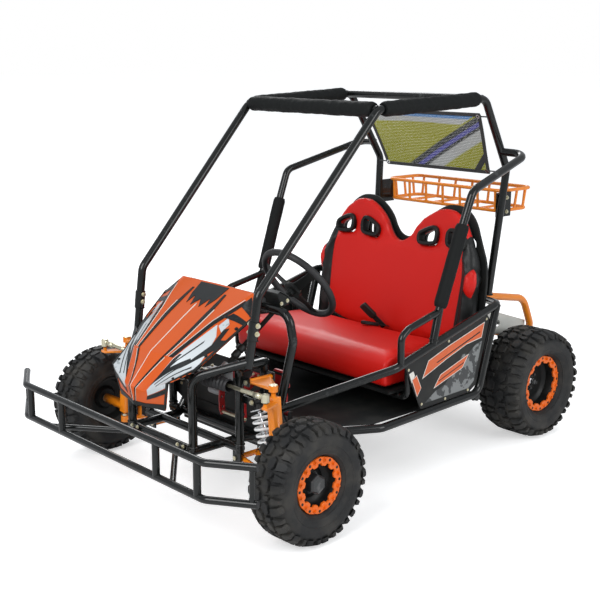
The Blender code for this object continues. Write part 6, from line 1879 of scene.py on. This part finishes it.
# %% Steering wheel and shaft
RIM_R, GRIP_R = 0.131, 0.0112
grip = [(GRIP_R * math.sin(2 * math.pi * k / 20), RIM_R + GRIP_R * math.cos(2 * math.pi * k / 20)) for k in range(20)]
wheel_parts = [painted(turned(grip, wheel_centre, column, 96), SOFT_RUBBER)]
side_way = Vector((1, 0, 0))
top_way = column.cross(side_way)
for degrees in (90, 210, 330):
    out = side_way * math.cos(math.radians(degrees)) + top_way * math.sin(math.radians(degrees))
    end = wheel_centre + out * 0.126 - column * 0.003
    line = end - hub
    long = line.length
    shape = [(0, -0.0190), (long * 0.35, -0.0150), (long * 0.75, -0.0130), (long, -0.0160), (long, 0.0160),
             (long * 0.75, 0.0130), (long * 0.35, 0.0150), (0, 0.0190)]
    wheel_parts.append(painted(plate(shape, 0.0040, hub, line, column.cross(line), 0.0009), SATIN_BLACK))
    normal = line.normalized().cross(column.cross(line).normalized())
    normal = normal if normal.dot(column) > 0 else -normal
    for share in (0.42, 0.58, 0.74):
        spot = hub + line * share
        wheel_parts.append(painted(turned([(0.0018, 0.0032), (0.0026, 0.0036), (0.0026, 0.0048), (0.0018, 0.0052)],
                                          spot, normal, 20), BRIGHT_STEEL))
wheel_parts.append(painted(turned([(-0.0060, 1e-5), (-0.0060, 0.0290), (-0.0050, 0.0300), (0.0050, 0.0300),
                                   (0.0060, 0.0290), (0.0060, 0.0215), (0.0100, 0.0200), (0.0130, 0.0160),
                                   (0.0138, 1e-5)], hub, column, 48), SATIN_BLACK))
settle(piece("steering_wheel_rim", merged_by_finish(wheel_parts)), "steering", "steering_wheel",
       ["steering_wheel"], 35)
hub_places = [(spot + column * 0.0060, column) for spot in around(hub, column, 0.0255, 6)]
bolt_piece("steering_hub_bolts", hub_places, "steering", "steering_wheel", head=0.0028, height=0.0022, washer=0.0036)
joint_low = foot + column * 0.030
shaft_extra = []
for start, end in ((0.0, 0.022), (0.026, 0.046)):
    yoke = [(start, 0.0076), (start, 0.0115), (start + 0.002, 0.0125), (end - 0.002, 0.0125), (end, 0.0115),
            (end, 0.0076)]
    shaft_extra.append(painted(turned(yoke, joint_low, column, 28), SATIN_BLACK))
dressed("steering_shaft", "steering", SATIN_BLACK, shaft_extra, 0.0006)
print("steering wheel and shaft")

# %% [markdown]
# The side panels are flat sheet with cut film on them: slanted bars in orange with pale edges and a mottled
# grey field. Each film is a thin plate just proud of the sheet. The field's mottle is a noise with a narrow step.

# %% Side panels
def mottled(name, ground, patch, scale):
    """Printed film with soft-edged patches of a second colour."""
    material = finish(name, ground, 0.34, coat=0.2, grain=(240.0, 14.0, 0.04))
    nodes = material.node_tree
    coords = add_node(nodes, "ShaderNodeTexCoord").outputs["Object"]
    cloud = add_node(nodes, "ShaderNodeTexNoise", {"Scale": scale, "Detail": 5.0, "Roughness": 0.62, "Vector": coords})
    edge = add_node(nodes, "ShaderNodeMapRange", {"From Min": 0.485, "From Max": 0.500, "Value": cloud.outputs["Fac"]})
    colour = blend_colours(nodes, edge.outputs["Result"], (*ground, 1.0), (*patch, 1.0))
    nodes.links.new(colour, nodes.nodes["Principled BSDF"].inputs["Base Color"])
    return material


MOTTLED = mottled("mottled grey film", (0.022, 0.025, 0.026), (0.17, 0.18, 0.18), 24.0)
PANEL_ORANGE = finish("orange film", (0.62, 0.098, 0.012), 0.32, coat=0.2, grain=(240.0, 14.0, 0.04), scuff=0.35,
                      scuff_colour=(0.30, 0.08, 0.02))


def grown(outline, distance):
    """The outline with each corner moved outwards."""
    area = sum(a[0] * b[1] - b[0] * a[1] for a, b in zip(outline, outline[1:] + outline[:1]))
    way = 1 if area > 0 else -1
    result = []
    for before, here, after in zip(outline[-1:] + outline[:-1], outline, outline[1:] + outline[:1]):
        first = Vector((here[0] - before[0], here[1] - before[1])).normalized()
        second = Vector((after[0] - here[0], after[1] - here[1])).normalized()
        normal = Vector((first.y + second.y, -first.x - second.x)) * way
        bend = max(normal.length, 0.6)
        reach = distance * 2 / bend
        result.append((here[0] + normal.x / bend * reach, here[1] + normal.y / bend * reach))
    return result


def under_rail(y):
    """Height of the panel's top edge."""
    return 0.404 + 0.26453 * (y - 0.447) - 0.01427


panel = [(0.490, under_rail(0.490)), (0.570, 0.2448), (0.815, 0.2533), (0.848, 0.272), (0.910, 0.490),
         (0.895, under_rail(0.895))]
upper_bar = [(0.578, 0.350), (0.603, 0.400), (0.700, 0.432), (0.880, 0.481), (0.868, 0.434), (0.790, 0.424),
             (0.690, 0.392)]
lower_bar = [(0.636, 0.306), (0.664, 0.342), (0.800, 0.384), (0.772, 0.346)]
front_dart = [(0.527, 0.350), (0.551, 0.294), (0.568, 0.318), (0.546, 0.362)]
front_mark = [(0.511, 0.374), (0.524, 0.342), (0.538, 0.364), (0.530, 0.380)]
slashes = [[(0.640, 0.388), (0.860, 0.456), (0.860, 0.451), (0.646, 0.386)],
           [(0.652, 0.324), (0.780, 0.364), (0.778, 0.360), (0.656, 0.322)]]
field = [(0.588, 0.262), (0.808, 0.268), (0.836, 0.288), (0.872, 0.420), (0.838, 0.412), (0.800, 0.388),
         (0.772, 0.392), (0.742, 0.352), (0.706, 0.330), (0.690, 0.306), (0.640, 0.292)]
for side, s in SIDES:
    origin = kart(s * 0.4385, 0, 0)
    films = [painted(plate(panel, 0.003, origin, (0, 1, 0), (0, 0, 1), 0.0006), SATIN_BLACK)]
    for outline, material, grow, lift in (
        (field, MOTTLED, 0, 0.00155), (upper_bar, STRIPE_PALE, 0.0022, 0.00160), (upper_bar, PANEL_ORANGE, 0, 0.00185),
        (lower_bar, STRIPE_PALE, 0.0020, 0.00165), (lower_bar, PANEL_ORANGE, 0, 0.00190),
        (front_dart, STRIPE_PALE, 0.0018, 0.00160), (front_dart, PANEL_ORANGE, 0, 0.00185),
        (front_mark, STRIPE_PALE, 0, 0.00160), (slashes[0], STRIPE_BLACK, 0, 0.00205),
        (slashes[1], STRIPE_BLACK, 0, 0.00210),
    ):
        shape = grown(outline, grow) if grow else outline
        spot = origin + Vector((s * lift, 0, 0))
        films.append(painted(plate(shape, 0.0004, spot, (0, 1, 0), (0, 0, 1), 0), material))
    settle(piece(f"side_panel_sheet_{side}", merged_by_finish(films)), "chassis", f"side_panel_{side}",
           [f"side_panel_{side}"], 30)
    screws = [(kart(s * 0.4402, y, z), (s, 0, 0)) for y, z in ((0.508, 0.388), (0.574, 0.262), (0.690, 0.256),
                                                               (0.806, 0.262), (0.893, 0.492), (0.700, 0.449))]
    bolt_piece(f"side_panel_screws_{side}", screws, "chassis", f"side_panel_{side}", head=0.0030, height=0.0016,
               washer=0.0046)
print("side panels")

# %% [markdown]
# What is left is behind the seat and under the floor: engine, cover, swing arm, axle, chain, pedals and floor.
# The chain is a rule: the same link again and again along a closed route, wide links and narrow links in turn.
# A tree resamples the route to a whole number of pitches and sets a roller and two plates on every point.

# %% Chain tree
def chain_tree():
    """A tree that sets chain links along a closed route in the YZ plane."""
    tree, start = new_tree("roller chain", {"Links": 62, "Pitch": CHAIN_PITCH, "Plate Height": 0.0040,
                                            "Half Width": 0.0042})
    curve = add_node(tree, "GeometryNodeMeshToCurve", {"Mesh": start["Geometry"]})
    even = add_node(tree, "GeometryNodeResampleCurve", {"Curve": curve.outputs["Curve"], "Count": start["Links"]})
    points = add_node(tree, "GeometryNodeCurveToPoints", {"Curve": even.outputs["Curve"]}, mode="EVALUATED")
    aim = add_node(tree, "FunctionNodeAlignRotationToVector", {"Vector": points.outputs["Tangent"]}, axis="Y",
                   pivot_axis="X")
    both = tree.nodes.new("GeometryNodeJoinGeometry")

    def across(sides, sizes, scale, place):
        """Lay a cylinder across the chain and join it to the link."""
        shape = add_node(tree, "GeometryNodeMeshCylinder", {"Vertices": sides, **sizes})
        spot = add_node(tree, "ShaderNodeCombineXYZ", place)
        move = add_node(tree, "GeometryNodeTransform", {
            "Geometry": shape.outputs["Mesh"], "Translation": spot.outputs["Vector"],
            "Rotation": (0.0, math.pi / 2, 0.0), "Scale": scale})
        tree.links.new(move.outputs["Geometry"], both.inputs["Geometry"])

    for sideways in (1, -1):
        across(8, {"Radius": start["Plate Height"], "Depth": 0.0013}, (1.0, 1.95, 1.0),
               {"X": math_node(tree, "MULTIPLY", start["Half Width"], sideways)})
    across(10, {"Radius": 0.0026, "Depth": 0.0066}, (1.0, 1.0, 1.0),
           {"Y": math_node(tree, "MULTIPLY", start["Pitch"], 0.5)})
    parity = math_node(tree, "MODULO", add_node(tree, "GeometryNodeInputIndex").outputs["Index"], 2.0)
    narrow = add_node(tree, "ShaderNodeMapRange", {"To Min": 1.0, "To Max": 0.66, "Value": parity})
    size = add_node(tree, "ShaderNodeCombineXYZ", {"X": narrow.outputs["Result"], "Y": 1.0, "Z": 1.0})
    copies = add_node(tree, "GeometryNodeInstanceOnPoints", {
        "Points": points.outputs["Points"], "Instance": both.outputs["Geometry"],
        "Rotation": aim.outputs["Rotation"], "Scale": size.outputs["Vector"]})
    return close_tree(tree, start, copies.outputs["Instances"])


CHAIN_PITCH = 0.0127
CHAINS = chain_tree()
small, big = kart(0.004, 1.030, 0.335), kart(0.004, 1.230, 0.197)
small_r, big_r = (sprocket + 0.0035 for sprocket in (0.026, 0.066))
gap = Vector((big.y - small.y, big.z - small.z))
lean, opening = math.atan2(gap.y, gap.x), math.acos((small_r - big_r) / gap.length)
loop = []
for centre, radius, first, sweep, steps in ((small, small_r, lean + opening, 2 * math.pi - 2 * opening, 24),
                                            (big, big_r, lean - opening, 2 * opening, 36)):
    for k in range(steps + 1):
        a = first + sweep * k / steps
        loop.append(Vector((centre.x, centre.y + radius * math.cos(a), centre.z + radius * math.sin(a))))
loop_long = sum((a - b).length for a, b in zip(loop, loop[1:] + loop[:1]))
links = 2 * round(loop_long / CHAIN_PITCH / 2)
route = bpy.data.meshes.new("chain route")
route.from_pydata(loop, [(k, (k + 1) % len(loop)) for k in range(len(loop))], [])
chain_sizes = {"Links": links, "Pitch": loop_long / links}
chain = piece("roller_chain", run_tree("chain", route, CHAINS, chain_sizes, CHAIN_STEEL))
chain.data.shade_smooth()
chain.data.set_sharp_from_angle(angle=math.radians(35))
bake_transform(chain)
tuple(small)
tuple(big)
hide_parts("drive_chain")
print("chain of", links, "links,", len(chain.data.polygons), "faces")

# %% Engine, cover, swing arm and axle
fins = [painted(block(kart(-0.1170, 0.9830, 0.3825 + 0.0085 * k), kart(-0.0430, 1.0570, 0.3850 + 0.0085 * k), 0.0006),
                CAST) for k in range(8)]
starter = painted(turned([(0, 1e-5), (0, 0.030), (0.004, 0.036), (0.010, 0.036), (0.016, 0.030), (0.018, 0.012),
                          (0.018, 1e-5)], kart(-0.138, 1.020, 0.330), (-1, 0, 0), 40), SATIN_BLACK)
plug = painted(turned([(0, 1e-5), (0, 0.009), (0.006, 0.009), (0.006, 0.006), (0.020, 0.0055), (0.024, 0.0075),
                       (0.036, 0.0070), (0.038, 1e-5)], kart(-0.080, 1.020, 0.450), (0, 0, 1), 24), SOFT_RUBBER)
dressed("engine", "chassis", CAST, [*fins, starter, plug], 0.0012)
dressed("engine_cover", "chassis", GREY_SHEET, (), 0.0008)
bolt_piece("cover_bolts", [(kart(x, 1.1168, 0.492), (0, 1, 0)) for x in (-0.13, 0.0, 0.13)], "chassis", "engine_cover",
           head=0.0045, height=0.0035, washer=0.0065)
for node, body, material, edge in (
    ("swing_arm", "swing_arm", BLACK_PAINT, 0.0012), ("rear_axle", "rear_axle", BRIGHT_STEEL, 0.0005),
    ("drive_sprocket", "drive_sprocket", CHAIN_STEEL, 0.0004), ("dash_panel", "chassis", SPECKLED, 0.0015),
):
    dressed(node, body, material, (), edge)
# Painted light on the column cover: satin black on its sides as painted shade, and a thin speckled grey sheet on its
# top as the lit top.
cover = [(0.1530, 0.6120), (0.1530, 0.6300), (0.1440, 0.6520), (0.1540, 0.6580), (0.1860, 0.6400),
         (0.1980, 0.6220), (0.1920, 0.6130), (0.1700, 0.6080)]
painted_lit_cover_top = [(0.1440, 0.6524), (0.1540, 0.6584), (0.1860, 0.6404), (0.1985, 0.6224), (0.1992, 0.6236),
             (0.1868, 0.6418), (0.1542, 0.6600), (0.1432, 0.6538)]
cover_parts = [painted(plate(cover, 0.096, kart(0.182, 0, 0), (0, 1, 0), (0, 0, 1), 0.0030), SATIN_BLACK),
               painted(plate(painted_lit_cover_top, 0.100, kart(0.182, 0, 0), (0, 1, 0), (0, 0, 1), 0.0003), SPECKLED)]
settle(piece("column_cover", merged_by_finish(cover_parts)), "chassis", "dash_panel", angle=40)
bolt_piece("column_cover_bolts", [(kart(0.182 + s * 0.0480, y, z), (s, 0, 0)) for s in (-1, 1)
                                  for y, z in ((0.160, 0.620), (0.184, 0.626))], "chassis", "dash_panel", head=0.0042,
           height=0.0030, washer=0.0062)
dressed("floor_pan", "chassis", SATIN_BLACK, (), 0.0008)
print("drive side finished")

# %% Pedals
RED_PAINT = finish("red paint", (0.42, 0.012, 0.014), 0.35, coat=0.3, dust=0.08, scuff=0.4,
                   scuff_colour=(0.10, 0.09, 0.09), grain=(800.0, 60.0, 0.04))
for name in ("brake_pedal", "throttle_pedal"):
    low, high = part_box(name)
    middle = (low.x + high.x) / 2
    pads = []
    for k in range(3):
        y, z = low.y, high.z - 0.0105 - 0.018 * k
        pads.append(painted(block((middle - 0.0286, y - 0.0012 + 0.004 * k, z - 0.0062),
                                  (middle + 0.0286, y + 0.010 + 0.004 * k, z + 0.0062), 0.0018), SOFT_RUBBER))
    dressed(name, name, RED_PAINT, pads, 0.0008)
print("pedals")

# %% [markdown]
# A plain sheet closes the front of the foot well behind the suspension towers. It has pressed lightening holes and
# is bolted to the rear tower posts. Its black face is partly painted shade: it stands for the shaded foot well
# seen between the front tubes. Two drilled red levers on a cross shaft and a brake cylinder with its cup hang in front
# of it.

# %% Front bulkhead
SHEET_Y = 0.1002
half_sheet = [(0.205, 0.424), (0.232, 0.390), (0.236, 0.372), (0.236, 0.250), (0.196, 0.232), (0.196, 0.168)]
sheet_shape = [(-x, z) for x, z in half_sheet[2::-1]] + half_sheet + [(-x, z) for x, z in half_sheet[:2:-1]]
sheet = plate(sheet_shape, 0.0020, kart(0, SHEET_Y, 0), (1, 0, 0), (0, 0, 1), 0.0005)
lips = []
for x in (-0.13, -0.045):
    middle = kart(x, SHEET_Y, 0.322)
    sheet = cut_from(sheet, turned([(-0.01, 1e-5), (-0.01, 0.022), (0.01, 0.022), (0.01, 1e-5)], middle, (0, 1, 0), 28))
    lips.append(turned([(-0.0032, 0.0215), (-0.0042, 0.0235), (-0.0010, 0.0262), (0.0010, 0.0262), (0.0010, 0.0215)],
                       middle, (0, 1, 0), 36))
ribs = [block(kart(-0.188, 0.0955, z), kart(0.188, 0.0995, z + 0.012), 0.0018) for z in (0.205, 0.242)]
# The black sheet is partly painted shade: it makes the dark background that shows between the front tubes.
settle(piece("front_bulkhead_painted_shade", merged([sheet, *lips, *ribs]), SATIN_BLACK), "chassis", "lower_frame", angle=30)
lever = [(0.0985, 0.404), (0.070, 0.396), (0.042, 0.368), (0.030, 0.325), (0.034, 0.258), (0.056, 0.258),
         (0.053, 0.318), (0.061, 0.348), (0.080, 0.364), (0.0985, 0.368)]
levers = []
for x in (0.080, 0.186):
    arm = plate(rounded_outline(lever, 1), 0.0045, kart(x, 0, 0), (0, 1, 0), (0, 0, 1), 0.0008)
    for y, z in ((0.045, 0.282), (0.0425, 0.315), (0.0465, 0.348), (0.064, 0.374), (0.084, 0.385)):
        arm = cut_from(arm, bar(kart(x - 0.01, y, z), kart(x + 0.01, y, z), 0.0048, 20, 0))
    foot_plate = block(kart(x - 0.017, 0.0945, 0.366), kart(x + 0.017, 0.0988, 0.406), 0.001)
    levers += [painted(arm, RED_PAINT), painted(foot_plate, RED_PAINT)]
levers.append(painted(bar(kart(0.074, 0.045, 0.268), kart(0.192, 0.045, 0.268), 0.0052, 20), ZINC))
settle(piece("pedal_brackets", merged_by_finish(levers)), "chassis", "lower_frame", angle=35)
lever_bolts = [(kart(x + dx, 0.0945, z), (0, -1, 0)) for x in (0.080, 0.186) for dx in (-0.011, 0.011)
               for z in (0.374, 0.398)]
lever_bolts.append((kart(0.192, 0.045, 0.268), (1, 0, 0)))
bolt_piece("pedal_bracket_bolts", lever_bolts, "chassis", "lower_frame", head=0.0040, height=0.0030, washer=0.0054)
cylinder = [painted(bar(kart(-0.004, 0.066, 0.318), kart(0.060, 0.066, 0.318), 0.0125, 28), CAST),
            painted(block(kart(0.004, 0.060, 0.328), kart(0.034, 0.096, 0.352), 0.003), SATIN_BLACK),
            painted(turned([(0, 1e-5), (0, 0.0150), (0.004, 0.0160), (0.012, 0.0160), (0.014, 0.0150), (0.014, 1e-5)],
                           kart(0.019, 0.076, 0.352), (0, 0, 1), 30), SATIN_BLACK)]
settle(piece("brake_cylinder", merged_by_finish(cylinder)), "chassis", "lower_frame", angle=35)
sheet_bolts = [(kart(x, 0.0990, z), (0, -1, 0)) for x in (-0.205, 0.205) for z in (0.285, 0.345, 0.405)]
bolt_piece("bulkhead_bolts", sheet_bolts, "chassis", "lower_frame", head=0.0040, height=0.0030, washer=0.0058)
print("front bulkhead")
